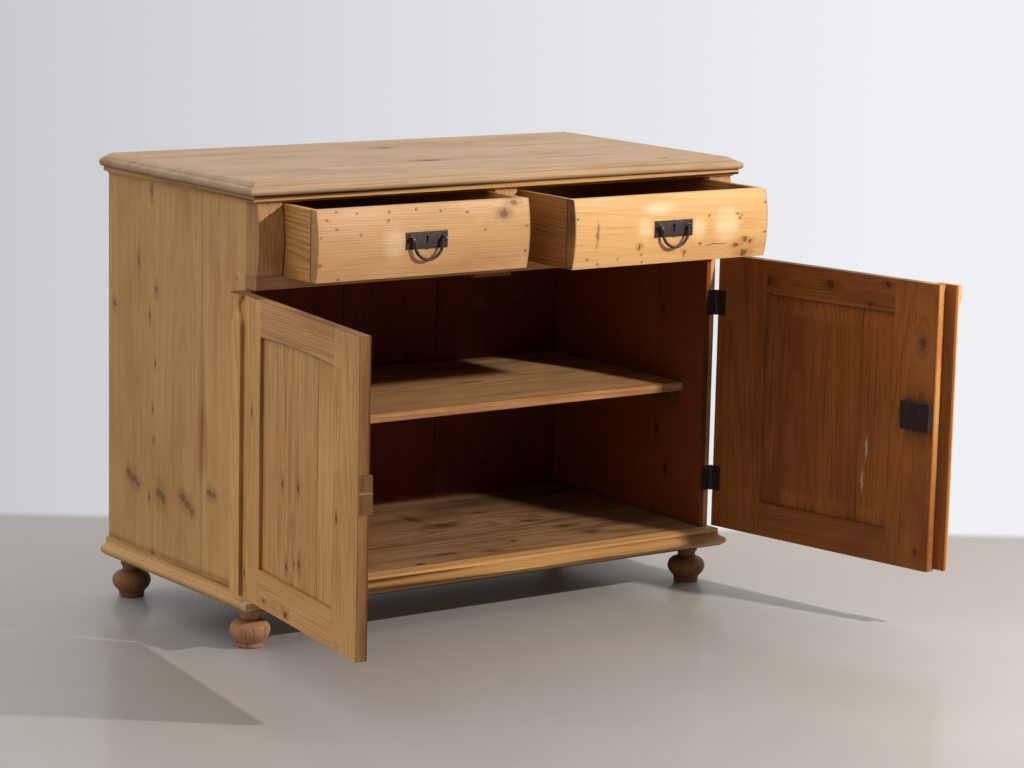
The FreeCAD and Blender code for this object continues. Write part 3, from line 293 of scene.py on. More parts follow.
@dataclass(frozen=True)
class Pine:
    """Flat-sawn pine, stripped and waxed: ridged late wood, knots, stains, open seams and old dirt.

    Attributes:
        name: What the piece is, for the material's name.
        board: How the board lies.
        tone: How aged it is.
        seed: Which tree it came from.
        ring: Width of a year's growth in mm. Real rings are 2 to 4 mm, drawn wider so that they show.
        pith: The heart's place across the board and below its face, in mm.
        slope: How steeply the heart dives along the board.
        wave: How much the rings wander.
        figure: How strong the late wood stands out.
        knots: Place along and across, and half length and width, of each knot, in mm.
        cracks: Start and end along, and place across, of each split, in mm.
        marks: Rubbed, stained and dirty places, and places of painted shade and painted highlights.
        grime: Axis, place, width and strength of each dark band, in mm: painted shade in a crease or recess,
            with some dirt.
        inner: Depth in mm past which the wood has its dark inside face, and the side of it, 1 or -1.
        tint: What the inside face's age multiplies its colour by.
        rough: Mean roughness.
        wild: Share of the small scattered knots.
        open_seams: How dark the seams between glued boards are.
        streaks: How dark the long streaks along the grain are.
        lines: How dark the thin lines along the grain are.
        stains: How dark the cloudy stains are.
        ripple: How far in mm the rings ripple over a hand's width.
        fill: How dark the knots' hearts are.
    """

    name: str
    board: Board
    tone: Tone
    seed: float = 0.0
    ring: float = 5.0
    pith: tuple[float, float] = (0.0, 70.0)
    slope: float = 0.03
    wave: float = 1.0
    figure: float = 0.42
    knots: tuple[Spot, ...] = ()
    cracks: tuple[Triple, ...] = ()
    marks: tuple[Mark, ...] = ()
    grime: tuple[Band, ...] = ()
    inner: tuple[float, int] | None = None
    tint: str = "#b89574"
    rough: float = 0.52
    wild: float = 0.1
    open_seams: float = 0.85
    streaks: float = 0.4
    lines: float = 0.45
    stains: float = 0.5
    ripple: float = 1.5
    fill: float = 0.8

    @staticmethod
    def spots(tree: Tree, flat: Socket, places: tuple[Spot, ...], reach: float) -> Socket | float:
        """Adds the nodes of oval spots, such as knots.

        Args:
            tree: The material's nodes.
            flat: Place along and across the board.
            places: The spots.
            reach: How far each spot reaches, in its own half sizes.

        Returns:
            1 at a spot's middle, falling to 0 at its reach.
        """
        total = 0.0
        for along, across, half_long, half_wide in places:
            long, wide = half_long * reach * MM, half_wide * reach * MM
            off = add(tree, "VectorMath", {0: flat, 1: (1 / long, 1 / wide, 0.0),
                                           2: (-along * MM / long, -across * MM / wide, 0.0)},
                      operation="MULTIPLY_ADD")
            gap = add(tree, "VectorMath", {0: off}, out=1, operation="LENGTH")
            spot = add(tree, "Math", {0: 1.0, 1: gap}, operation="SUBTRACT", use_clamp=True)
            total = spot if total == 0.0 else add(tree, "Math", {0: total, 1: spot}, operation="MAXIMUM")
        return total

    def sawn(self, tree: Tree, place: Socket, across: Socket) -> tuple[Socket, Socket]:
        """Adds the nodes that take each glued board from another part of the tree.

        Args:
            tree: The material's nodes.
            place: Place on the board.
            across: Place across it.

        Returns:
            Three random numbers for each board, and the place in the wood.
        """
        number = self.seed
        for seam in self.board.seams:
            past = add(tree, "Math", {0: across, 1: seam * MM}, operation="GREATER_THAN")
            number = add(tree, "Math", {0: number, 1: past}, operation="ADD")
        dice = add(tree, "TexWhiteNoise", {"W": number}, out=1, noise_dimensions="1D")
        far, wide, deep = (v * MM for v in BOARDS_APART)
        shift = add(tree, "VectorMath", {0: dice, 1: (far, wide, deep), 2: (0.0, -wide / 2, -deep / 2)},
                    operation="MULTIPLY_ADD")
        return dice, add(tree, "VectorMath", {0: place, 1: shift}, operation="ADD")

    def knotted(self, tree: Tree, wood: Socket, flat: Socket) -> tuple[Socket, Socket, Socket]:
        """Adds the nodes of the knots: those listed, and small scattered ones.

        Args:
            tree: The material's nodes.
            wood: Place in the wood.
            flat: Place along and across the board, with ragged edges.

        Returns:
            How near a knot's heart is, how far it pushes the rings aside, and the scattered knots' spaces.
        """
        squeeze, knot_reach, push_reach = 0.5, 1.25, 3.4
        stretched = add(tree, "VectorMath", {0: flat, 1: (squeeze, 1.0, 0.0)}, operation="MULTIPLY")
        squeezed = tuple((along * squeeze, *rest) for along, *rest in self.knots)
        knot = self.spots(tree, flat, self.knots, knot_reach)
        push = self.spots(tree, stretched, squeezed, push_reach)
        spaces = add(tree, "VectorMath", {0: wood, 1: per_metre(*KNOT_SPACE)}, operation="MULTIPLY")
        space = add(tree, "TexVoronoi", {"Vector": spaces, "Scale": 1.0, "Randomness": 1.0})
        chance = add(tree, "SeparateColor", {0: space.node.outputs[1]})
        small = add(tree, "MapRange", {0: chance, 1: 1.0 - self.wild, 2: 1.0, 3: 0.0005, 4: 0.055})
        near = add(tree, "Math", {0: space, 1: small}, operation="DIVIDE")
        pin = add(tree, "MapRange", {0: near, 1: 0.0, 2: 1.3, 3: 1.0, 4: 0.0})
        knot = add(tree, "Math", {0: knot, 1: pin}, operation="MAXIMUM")
        pin_push = add(tree, "MapRange", {0: near, 1: 0.0, 2: 3.5, 3: 0.45, 4: 0.0},
                       interpolation_type="SMOOTHSTEP")
        return knot, add(tree, "Math", {0: push, 1: pin_push}, operation="MAXIMUM"), spaces

    def ringed(self, tree: Tree, wood: Socket, push: Socket) -> Socket:
        """Adds the nodes of yearly rings about a wandering heart below the face.

        Args:
            tree: The material's nodes.
            wood: Place in the wood.
            push: How far knots push the rings aside.

        Returns:
            1 in the hard late wood and 0 in the soft early wood.
        """
        across_wander, deep_wander, knot_push = 20 * MM, 25 * MM, 11 * MM
        wander = WANDER.pattern(tree, wood, out=1)
        reach = (0.0, across_wander * self.wave, deep_wander * self.wave)
        bent = add(tree, "VectorMath", {0: wander, 1: reach, 2: wood}, operation="MULTIPLY_ADD")
        heart = add(tree, "VectorMath", {0: bent, 1: (0.0, -self.pith[0] * MM, self.pith[1] * MM)},
                    operation="ADD")
        parts = add(tree, "SeparateXYZ", {0: heart})
        dive = add(tree, "Math", {0: parts, 1: self.slope, 2: parts.node.outputs[2]},
                   operation="MULTIPLY_ADD")
        cross = add(tree, "CombineXYZ", {1: parts.node.outputs[1], 2: dive})
        radius = add(tree, "VectorMath", {0: cross}, out=1, operation="LENGTH")
        pushed = add(tree, "Math", {0: push, 1: knot_push, 2: radius}, operation="MULTIPLY_ADD")
        sway = SWAY.pattern(tree, wood)
        pushed = add(tree, "Math", {0: sway, 1: self.ripple * MM, 2: pushed}, operation="MULTIPLY_ADD")
        year = add(tree, "Math", {0: pushed, 1: self.ring * MM}, operation="DIVIDE")
        part = add(tree, "Math", {0: year}, operation="FRACT")
        rise = add(tree, "MapRange", {0: part, 1: 0.25, 2: 0.88, 3: 0.0, 4: 1.0},
                   interpolation_type="SMOOTHSTEP")
        fall = add(tree, "MapRange", {0: part, 1: 0.88, 2: 1.0, 3: 1.0, 4: 0.0})
        season = add(tree, "TexNoise", {"W": year, "Scale": 0.7, "Detail": 1.0}, noise_dimensions="1D")
        good = add(tree, "MapRange", {0: season, 1: 0.3, 2: 0.7, 3: 0.25, 4: 1.0})
        ridge = add(tree, "Math", {0: rise, 1: fall}, operation="MULTIPLY")
        return add(tree, "Math", {0: ridge, 1: good}, operation="MULTIPLY")

    def coloured(self, tree: Tree, dice: Socket, ridge: Socket, fibre: Socket, streak: Socket,
                 patch: Socket) -> Socket:
        """Adds the nodes of clean wood's colour: rings, stains, streaks and fine lines.

        Args:
            tree: The material's nodes.
            dice: Random numbers for each board.
            ridge: Where the late wood is.
            fibre: The fibres.
            streak: The long streaks.
            patch: The cloudy stains.

        Returns:
            The colour.
        """
        early, late, stain = (linear(code) for code in self.tone.value)
        lined = add(tree, "Math", {0: ridge, 1: self.figure}, operation="MULTIPLY")
        colour = add(tree, "Mix", {0: lined, 6: early, 7: late}, out=2, data_type="RGBA")
        soaked = add(tree, "MapRange", {0: patch, 1: 0.48, 2: 0.8, 3: 0.0, 4: self.stains})
        colour = add(tree, "Mix", {0: soaked, 6: colour, 7: stain}, out=2, data_type="RGBA")
        streaked = add(tree, "MapRange", {0: streak, 1: 0.52, 2: 0.78, 3: 0.0, 4: self.streaks})
        colour = add(tree, "Mix", {0: streaked, 6: colour, 7: late}, out=2, data_type="RGBA")
        line = add(tree, "MapRange", {0: fibre, 1: 0.57, 2: 0.7, 3: 0.0, 4: self.lines})
        colour = add(tree, "Mix", {0: line, 6: colour, 7: stain}, out=2, data_type="RGBA")
        fine = add(tree, "MapRange", {0: fibre, 1: 0.25, 2: 0.75, 3: 1.1, 4: 0.9})
        lot = add(tree, "SeparateColor", {0: dice}, out=2)
        batch = add(tree, "MapRange", {0: lot, 1: 0.0, 2: 1.0, 3: 0.93, 4: 1.07})
        value = add(tree, "Math", {0: fine, 1: batch}, operation="MULTIPLY")
        return add(tree, "HueSaturation", {"Value": value, "Color": colour})

    def with_knots(self, tree: Tree, colour: Socket, knot: Socket, push: Socket, ragged: Socket) -> Socket:
        """Adds the nodes of the knots' colour: stained wood round a brown heart in a broken, dark rim.

        Args:
            tree: The material's nodes.
            colour: The wood's colour.
            knot: How near the heart of a knot is.
            push: How far it pushes the rings aside.
            ragged: The noise that breaks its rim.

        Returns:
            The new colour.
        """
        stain = linear(self.tone.value[2])
        halo = add(tree, "MapRange", {0: push, 1: 0.3, 2: 0.75, 3: 0.0, 4: 0.5},
                   interpolation_type="SMOOTHSTEP")
        colour = add(tree, "Mix", {0: halo, 6: colour, 7: stain}, out=2, data_type="RGBA")
        body = add(tree, "MapRange", {0: knot, 1: 0.06, 2: 0.5, 3: 0.0, 4: self.fill},
                   interpolation_type="SMOOTHSTEP")
        colour = add(tree, "Mix", {0: body, 6: colour, 7: linear(Shade.KNOT.value)}, out=2, data_type="RGBA")
        rim_in = add(tree, "MapRange", {0: knot, 1: 0.02, 2: 0.16, 3: 0.0, 4: 0.8},
                     interpolation_type="SMOOTHSTEP")
        rim_out = add(tree, "MapRange", {0: knot, 1: 0.16, 2: 0.4, 3: 1.0, 4: 0.0},
                      interpolation_type="SMOOTHSTEP")
        rim = add(tree, "Math", {0: rim_in, 1: rim_out}, operation="MULTIPLY")
        broken = add(tree, "MapRange", {0: ragged, 1: 0.35, 2: 0.65, 3: 0.1, 4: 1.0})
        rim = add(tree, "Math", {0: rim, 1: broken}, operation="MULTIPLY")
        return add(tree, "Mix", {0: rim, 6: colour, 7: linear(Shade.RIM.value)}, out=2, data_type="RGBA")

    def opened(self, tree: Tree, along: Socket, across: Socket, flat: Socket, spaces: Socket) -> Socket:
        """Adds the nodes of open seams, splits and small holes.

        Args:
            tree: The material's nodes.
            along: Place along the board.
            across: Place across it.
            flat: Place along and across, with ragged edges.
            spaces: The spaces of the scattered knots, which holes are scattered by too.

        Returns:
            How open the wood is, from 0 to 0.9.
        """
        gap, split_dark, holes_in_space, most = 0.0, 0.8, 5.0, 0.9
        wavy = add(tree, "SeparateXYZ", {0: flat}, out=1)
        lines = [(wavy, place, split_dark, (start, end)) for start, end, place in self.cracks]
        lines += [(across, place, self.open_seams, None) for place in self.board.seams]
        for measure, place, dark, ends in lines:
            off = add(tree, "Math", {0: measure, 1: place * MM}, operation="SUBTRACT")
            off = add(tree, "Math", {0: off}, operation="ABSOLUTE")
            line = add(tree, "MapRange", {0: off, 1: 0.4 * MM, 2: 1.6 * MM, 3: dark, 4: 0.0})
            if ends is not None:
                far = add(tree, "Math", {0: along, 1: sum(ends) / 2 * MM}, operation="SUBTRACT")
                far = add(tree, "Math", {0: far}, operation="ABSOLUTE")
                half = abs(ends[1] - ends[0]) / 2 * MM
                fade = add(tree, "MapRange", {0: far, 1: half * 0.55, 2: half, 3: 1.0, 4: 0.0})
                line = add(tree, "Math", {0: line, 1: fade}, operation="MULTIPLY")
            gap = add(tree, "Math", {0: gap, 1: line}, operation="MAXIMUM")
        pore = add(tree, "TexVoronoi", {"Vector": spaces, "Scale": holes_in_space})
        hole = add(tree, "MapRange", {0: pore, 1: 0.02, 2: 0.05, 3: 0.6, 4: 0.0})
        picked = add(tree, "SeparateColor", {0: pore.node.outputs[1]}, out=1)
        picked = add(tree, "Math", {0: picked, 1: 0.93}, operation="GREATER_THAN")
        hole = add(tree, "Math", {0: hole, 1: picked}, operation="MULTIPLY")
        gap = add(tree, "Math", {0: gap, 1: hole}, operation="MAXIMUM")
        return add(tree, "Math", {0: gap, 1: most}, operation="MINIMUM")

    def marked(self, tree: Tree, colour: Socket, place: Socket, flat: Socket, behind: Socket | float,
               brushed: Socket) -> Socket:
        """Adds the nodes of the rubbed, stained and dirty places, and of the painted shade and highlights.

        Args:
            tree: The material's nodes.
            colour: The wood's colour.
            place: Place on the board.
            flat: Place along and across it, with ragged edges.
            behind: 1 on the inside face.
            brushed: What makes the marks uneven.

        Returns:
            The new colour.
        """
        edge_in, edge_out, reach = -6 * MM, 3 * MM, 1.5
        for mark in self.marks:
            if mark.square:
                along, across, half_long, half_wide = (v * MM for v in mark.spot)
                off = add(tree, "VectorMath", {0: place, 1: (-along, -across, 0.0)}, operation="ADD")
                off = add(tree, "VectorMath", {0: off}, operation="ABSOLUTE")
                off = add(tree, "VectorMath", {0: off, 1: (half_long, half_wide, 1.0)}, operation="SUBTRACT")
                sides = add(tree, "SeparateXYZ", {0: off})
                over = add(tree, "Math", {0: sides, 1: sides.node.outputs[1]}, operation="MAXIMUM")
                soft = add(tree, "MapRange", {0: over, 1: edge_in, 2: edge_out, 3: mark.strength, 4: 0.0})
            else:
                soft = self.spots(tree, flat, (mark.spot,), reach)
                soft = add(tree, "MapRange", {0: soft, 1: 0.0, 2: 0.75, 3: 0.0, 4: mark.strength},
                           interpolation_type="SMOOTHSTEP")
            soft = add(tree, "Math", {0: soft, 1: brushed}, operation="MULTIPLY", use_clamp=True)
            if mark.inside:
                soft = add(tree, "Math", {0: soft, 1: behind}, operation="MULTIPLY")
            colour = add(tree, "Mix", {0: soft, 6: colour, 7: linear(mark.shade.value)}, out=2,
                         data_type="RGBA")
        return colour

    def soiled_and_shaded(self, tree: Tree, colour: Socket, axes: list[Socket], patch: Socket) -> Socket:
        """Adds the nodes of the dark bands along edges and corners: painted shade in creases and recesses,
        with some dirt.

        Args:
            tree: The material's nodes.
            colour: The wood's colour.
            axes: Place along, across and through the board.
            patch: What makes the bands uneven.

        Returns:
            The new colour.
        """
        for axis, spot, width, strength in self.grime:
            off = add(tree, "Math", {0: axes[axis], 1: spot * MM}, operation="SUBTRACT")
            off = add(tree, "Math", {0: off}, operation="ABSOLUTE")
            band = add(tree, "MapRange", {0: off, 1: 0.0, 2: width * MM, 3: 1.7 * strength, 4: 0.0})
            band = add(tree, "Math", {0: band, 1: patch}, operation="MULTIPLY", use_clamp=True)
            colour = add(tree, "Mix", {0: band, 6: colour, 7: linear(Shade.GRIME.value)}, out=2,
                         data_type="RGBA")
        return colour

    def material(self) -> bpy.types.Material:
        """Builds the material.

        Pine's early wood is pale and soft, and stripping wears it below the dark late wood, so the rings show
        as fine ridged lines that arch where the saw crossed them; wax leaves a low, uneven shine.

        Returns:
            The finished material.
        """
        material, tree = blank("waxed_pine_" + self.name)
        place = self.board.place(tree)
        axes = add(tree, "SeparateXYZ", {0: place}).node.outputs
        along, across, depth = axes
        dice, wood = self.sawn(tree, place, across)
        ragged = add(tree, "TexNoise", {"Vector": place, "Scale": per_metre(RAGGED)[0], "Detail": 1.0}, out=1)
        long, wide = 12 * MM, 8 * MM
        jitter = add(tree, "VectorMath", {0: ragged, 1: (long, wide, 0.0), 2: (-long / 2, -wide / 2, 0.0)},
                     operation="MULTIPLY_ADD")
        flat = add(tree, "VectorMath", {0: place, 1: (1.0, 1.0, 0.0), 2: jitter}, operation="MULTIPLY_ADD")
        knot, push, spaces = self.knotted(tree, wood, flat)
        ridge = self.ringed(tree, wood, push)
        fibre, streak, patch = (blobs.pattern(tree, wood) for blobs in (FIBRE, STREAK, PATCH))
        colour = self.coloured(tree, dice, ridge, fibre, streak, patch)
        colour = self.with_knots(tree, colour, knot, push, ragged.node.outputs[0])
        gap = self.opened(tree, along, across, flat, spaces)
        colour = add(tree, "Mix", {0: gap, 6: colour, 7: linear(Shade.SPLIT.value)}, out=2, data_type="RGBA")

        # The inside's old dark face, then rubbed, stained and dirty places, painted shade and painted
        # highlights.
        behind = 0.0
        if self.inner is not None:
            limit, side = self.inner
            behind = add(tree, "MapRange", {0: depth, 1: (limit - side) * MM, 2: (limit + side) * MM, 3: 0.0,
                                            4: 1.0})
            colour = add(tree, "Mix", {0: behind, 6: colour, 7: linear(self.tint)}, out=2, data_type="RGBA",
                         blend_type="MULTIPLY")
        brushed = add(tree, "Math", {0: streak, 1: patch}, operation="ADD")
        brushed = add(tree, "MapRange", {0: brushed, 1: 0.75, 2: 1.25, 3: 0.35, 4: 1.3})
        colour = self.marked(tree, colour, place, flat, behind, brushed)
        colour = self.soiled_and_shaded(tree, colour, axes, patch)

        # The late wood stands proud by a few tenths of a millimetre; splits and holes go down.
        height = add(tree, "Math", {0: fibre, 1: 0.6, 2: ridge}, operation="MULTIPLY_ADD")
        height = add(tree, "Math", {0: gap, 1: -2.5, 2: height}, operation="MULTIPLY_ADD")
        bump = add(tree, "Bump", {"Strength": 0.35, "Distance": 0.6 * MM, "Height": height})
        shine = add(tree, "MapRange", {0: patch, 1: 0.3, 2: 0.7, 3: self.rough - 0.07, 4: self.rough + 0.09})
        surface = add(tree, "BsdfPrincipled", {"Base Color": colour, "Roughness": shine, "Normal": bump,
                                               "IOR": 1.5, "Specular IOR Level": 0.25})
        add(tree, "OutputMaterial", {0: surface})
        return material


@dataclass(frozen=True)
class Iron:
    """Old forged iron: brown-black scale, worn to grey on the high places, with a little rust.

    Attributes:
        name: What the piece is, for the material's name.
        scale: Width in mm of a patch of rust or wear.
        bright: How much bare metal shows.
    """

    name: str
    scale: float = 9.0
    bright: float = 0.35

    def material(self) -> bpy.types.Material:
        """Builds the material: dark, half-matt scale with rust and rubbed spots.

        Returns:
            The finished material.
        """
        material, tree = blank("forged_iron_" + self.name)
        scale, rust, bare = (linear(code) for code in ("#3b3335", "#4d2f1f", "#bdb3ab"))
        place = add(tree, "TexCoord", out=3)
        # The grit of real scale is finer; it is drawn a fifth as wide as the patches so that it shows.
        patches, grits = per_metre(self.scale, self.scale / 5)
        patch = add(tree, "TexNoise", {"Vector": place, "Scale": patches, "Detail": 4.0, "Roughness": 0.65})
        grit = add(tree, "TexNoise", {"Vector": place, "Scale": grits, "Detail": 2.0})
        rusted = add(tree, "MapRange", {0: patch, 1: 0.52, 2: 0.72, 3: 0.0, 4: 0.75})
        least = 0.7 - 0.3 * self.bright
        worn = add(tree, "MapRange", {0: grit, 1: least, 2: least + 0.2, 3: 0.0, 4: self.bright})
        colour = add(tree, "Mix", {0: rusted, 6: scale, 7: rust}, out=2, data_type="RGBA")
        colour = add(tree, "Mix", {0: worn, 6: colour, 7: bare}, out=2, data_type="RGBA")
        rough = add(tree, "MapRange", {0: patch, 1: 0.3, 2: 0.7, 3: 0.38, 4: 0.66})
        height = add(tree, "Math", {0: patch, 1: 0.5, 2: grit}, operation="MULTIPLY_ADD")
        bump = add(tree, "Bump", {"Strength": 0.4, "Distance": 0.4 * MM, "Height": height})
        surface = add(tree, "BsdfPrincipled", {"Base Color": colour, "Metallic": 0.75, "Roughness": rough,
                                               "Normal": bump})
        add(tree, "OutputMaterial", {0: surface})
        return material


def smooth_edges() -> Tree:
    """Makes the modifier tree that shades curved faces smoothly and keeps hard edges hard.

    Returns:
        A geometry node tree for ease.
    """
    tree = bpy.data.node_groups.new("smooth_under_forty_degrees", "GeometryNodeTree")
    tree.interface.new_socket("Geometry", in_out="INPUT", socket_type="NodeSocketGeometry")
    tree.interface.new_socket("Geometry", in_out="OUTPUT", socket_type="NodeSocketGeometry")
    start = add(tree, "NodeGroupInput")
    angle = add(tree, "GeometryNodeInputMeshEdgeAngle")
    soft = add(tree, "Math", {0: angle, 1: SMOOTH_UNDER}, operation="LESS_THAN")
    edges = add(tree, "GeometryNodeSetShadeSmooth", {"Geometry": start, "Shade Smooth": soft}, domain="EDGE")
    faces = add(tree, "GeometryNodeSetShadeSmooth", {"Geometry": edges}, domain="FACE")
    add(tree, "NodeGroupOutput", {0: faces})
    return tree


SMOOTH = smooth_edges()


def ease(obj: bpy.types.Object, wear: float) -> None:
    """Rounds a CAD piece's edges as use has worn them, and shades its curves smoothly.

    Args:
        obj: The piece.
        wear: Width of the worn edge in mm.
    """
    weld = obj.modifiers.new("joined", "WELD")
    weld.merge_threshold = WELD_REACH
    bevel = obj.modifiers.new("worn_edges", "BEVEL")
    bevel.width = wear * MM
    bevel.segments = 2
    bevel.limit_method = "ANGLE"
    bevel.angle_limit = WORN_OVER
    bevel.use_clamp_overlap = True
    shade = obj.modifiers.new("shading", "NODES")
    shade.node_group = SMOOTH
    flat = obj.modifiers.new("flat_faces", "WEIGHTED_NORMAL")
    flat.keep_sharp = True


def dress_node(name: str, material: bpy.types.Material, wear: float = 0.9) -> None:
    """Gives a CAD node its finish and its worn edges.

    Args:
        name: The node.
        material: Its finish.
        wear: Width of the worn edge in mm.
    """
    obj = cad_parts[name]
    obj.data.materials.clear()
    obj.data.materials.append(material)
    ease(obj, wear)
    LOG.info("dressed %s in %s", name, material.name)


def piece(name: str, bm: bmesh.types.BMesh, body: str,
          material: bpy.types.Material) -> bpy.types.Object:
    """Makes an object of a finished mesh, smooth, at the origin, riding on its body.

    Args:
        name: The object's name.
        bm: Its mesh, which is freed.
        body: The body it rides on.
        material: Its finish.

    Returns:
        The object.
    """
    bmesh.ops.remove_doubles(bm, verts=bm.verts, dist=MERGE_REACH)
    bmesh.ops.recalc_face_normals(bm, faces=bm.faces)
    for face in bm.faces:
        face.smooth = True
    mesh = bpy.data.meshes.new(name)
    bm.to_mesh(mesh)
    bm.free()
    mesh.materials.append(material)
    obj = bpy.data.objects.new(name, mesh)
    bpy.context.scene.collection.objects.link(obj)
    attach(obj, body)
    LOG.info("made %s for %s", name, body)
    return obj


def chain(bm: bmesh.types.BMesh, points: list[Triple]) -> list:
    """Adds a few vertices joined in a row, ready to spin or extrude.

    Args:
        bm: The mesh.
        points: The vertices, in metres.

    Returns:
        The new vertices and edges.
    """
    verts = [bm.verts.new(p) for p in points]
    return verts + [bm.edges.new(pair) for pair in zip(verts, verts[1:])]


def stud(bm: bmesh.types.BMesh, place: Triple, facing: Triple, radius: float, height: float) -> None:
    """Adds a low domed head, as of a nail or rivet, on a face.

    Args:
        bm: The mesh.
        place: The middle of its foot, in mm.
        facing: The way its top looks.
        radius: Its radius in mm.
        height: How far it stands out, in mm.
    """
    turn = Vector(UP).rotation_difference(Vector(facing).normalized()).to_matrix().to_4x4()
    spot = Matrix.Translation(Vector(place) * MM) @ turn
    sides, sink, shoulder, taper, tip = 10, 0.6, 0.45 * height, 0.92, 0.5
    for low, high, wide, narrow in ((-sink, shoulder, 1.0, taper), (shoulder, height, taper, tip)):
        lift = Matrix.Translation((0.0, 0.0, (low + high) / 2 * MM))
        bmesh.ops.create_cone(bm, cap_ends=True, segments=sides, radius1=wide * radius * MM,
                              radius2=narrow * radius * MM, depth=(high - low) * MM, matrix=spot @ lift)


@dataclass
class Studio:
    """The floor, the light and the camera, set as the photograph's were. Sizes in mm, angles in degrees.

    Attributes:
        camera_place: Where the camera stands.
        yaw: How far it is turned from square on.
        pitch: How far it looks down.
        roll: How far it leans.
        lens: Its focal length.
        sensor: Its sensor's width.
        sight: How far it sees.
        floor_half: Half the floor's width.
        far_line: How far ahead of the camera the floor turns to pale backdrop.
        far_blur: Half the width of that line's soft edge.
        wall_shade_sides: Left and right sides of the view, as slopes, between which the backdrop brightens:
            painted shade, darker to the left, as of the cupboard's shadow on a wall.
        glow: How bright the backdrop is at those sides.
        cloud: Width of a cloudy patch in the floor's paint.
        lamp_place: Where the lamp hangs.
        lamp_aim: What it points at.
        lamp_size: How wide it is.
        lamp_power: Its power in watts.
        sky_low: The sky's brightness at the skyline.
        sky_high: Its brightness from sky_rise up.
        sky_rise: Height, as a sine, where it is brightest.
        sky_front: What is left of it behind the camera.
        sky_turn: Slopes to the front between which it dims.
        sky_seen: How bright the camera sees it.
    """

    camera_place: Triple = (-3651.0, -5443.0, 1596.0)
    yaw: float = 35.62
    pitch: float = 10.01
    roll: float = 1.28
    lens: float = 111.94
    sensor: float = 36.0
    sight: float = 100000.0
    floor_half: float = 45000.0
    far_line: float = 7170.0
    far_blur: float = 30.0
    wall_shade_sides: tuple[float, float] = (-0.16, 0.12)
    glow: tuple[float, float] = (0.66, 0.97)
    cloud: float = 333.333
    lamp_place: Triple = (1300.0, -2500.0, 1850.0)
    lamp_aim: Triple = (0.0, -300.0, 500.0)
    lamp_size: float = 120.0
    lamp_power: float = 80.0
    sky_low: float = 0.2
    sky_high: float = 1.3
    sky_rise: float = 0.32
    sky_front: float = 0.04
    sky_turn: tuple[float, float] = (-0.8, -0.25)
    sky_seen: float = 0.8

    def axes(self) -> tuple[Vector, Vector, Vector]:
        """Works out which way the camera is turned.

        Returns:
            Its right, up and forward directions.
        """
        yaw, pitch, roll = (math.radians(v) for v in (self.yaw, self.pitch, self.roll))
        ahead = Vector((math.sin(yaw) * math.cos(pitch), math.cos(yaw) * math.cos(pitch), -math.sin(pitch)))
        right = Vector((math.cos(yaw), -math.sin(yaw), 0.0))
        up = right.cross(ahead)
        level = right * math.cos(roll) + up * math.sin(roll)
        upright = up * math.cos(roll) - right * math.sin(roll)
        return level, upright, ahead

    def build(self) -> None:
        """Makes the camera, the floor and the lights."""
        self.camera()
        self.floor()
        self.sky()
        self.lamp()

    def camera(self) -> None:
        """Sets the camera where the photograph was taken from."""
        level, upright, ahead = self.axes()
        data = bpy.data.cameras.new("photo_camera")
        data.lens = self.lens
        data.sensor_width = self.sensor
        data.clip_end = self.sight * MM
        camera = bpy.data.objects.new("photo_camera", data)
        turn = Matrix((level, upright, -ahead)).transposed().to_4x4()
        camera.matrix_world = Matrix.Translation(Vector(self.camera_place) * MM) @ turn
        bpy.context.scene.collection.objects.link(camera)
        bpy.context.scene.camera = camera

    def floor(self) -> None:
        """Lays the pale painted floor."""
        bm = bmesh.new()
        bmesh.ops.create_grid(bm, x_segments=1, y_segments=1, size=self.floor_half * MM)
        mesh = bpy.data.meshes.new("floor")
        bm.to_mesh(mesh)
        bm.free()
        mesh.materials.append(self.paint())
        floor = bpy.data.objects.new("floor", mesh)
        bpy.context.scene.collection.objects.link(floor)

    def paint(self) -> bpy.types.Material:
        """Builds the floor's material: half-gloss grey paint, and a glowing backdrop far off, with painted
        shade on its left.

        Returns:
            The finished material.
        """
        material, tree = blank("painted_floor")
        place = add(tree, "TexCoord", out=3)
        start = Vector(self.camera_place) * MM
        turn = (0.0, 0.0, -math.radians(self.yaw))
        ahead = add(tree, "Mapping", {0: place, 1: (start.x, start.y, 0.0), 2: turn}, vector_type="TEXTURE")
        far = add(tree, "SeparateXYZ", {0: ahead}, out=1)
        line, blur = self.far_line * MM, self.far_blur * MM
        past = add(tree, "MapRange", {0: far, 1: line - blur, 2: line + blur, 3: 0.0, 4: 1.0})
        aside = add(tree, "Math", {0: far.node.outputs[0], 1: far}, operation="DIVIDE")
        # The backdrop dims towards the left: painted shade standing for the cupboard's shadow on a wall.
        (left, right), (dim, bright) = self.wall_shade_sides, self.glow
        lit = add(tree, "MapRange", {0: aside, 1: left, 2: right, 3: dim, 4: bright})
        cloud = add(tree, "TexNoise", {"Vector": place, "Scale": per_metre(self.cloud)[0], "Detail": 4.0})
        dull, light = linear("#9a9896"), linear("#a4a2a0")
        tint = add(tree, "Mix", {0: cloud, 6: dull, 7: light}, out=2, data_type="RGBA")
        paint = add(tree, "BsdfPrincipled", {"Base Color": tint, "Roughness": 0.55, "Coat Weight": 0.25,
                                             "Coat Roughness": 0.16})
        glow = add(tree, "Emission", {0: linear("#f3f4f8"), 1: lit})
        surface = add(tree, "MixShader", {0: past, 1: paint, 2: glow})
        add(tree, "OutputMaterial", {0: surface})
        return material

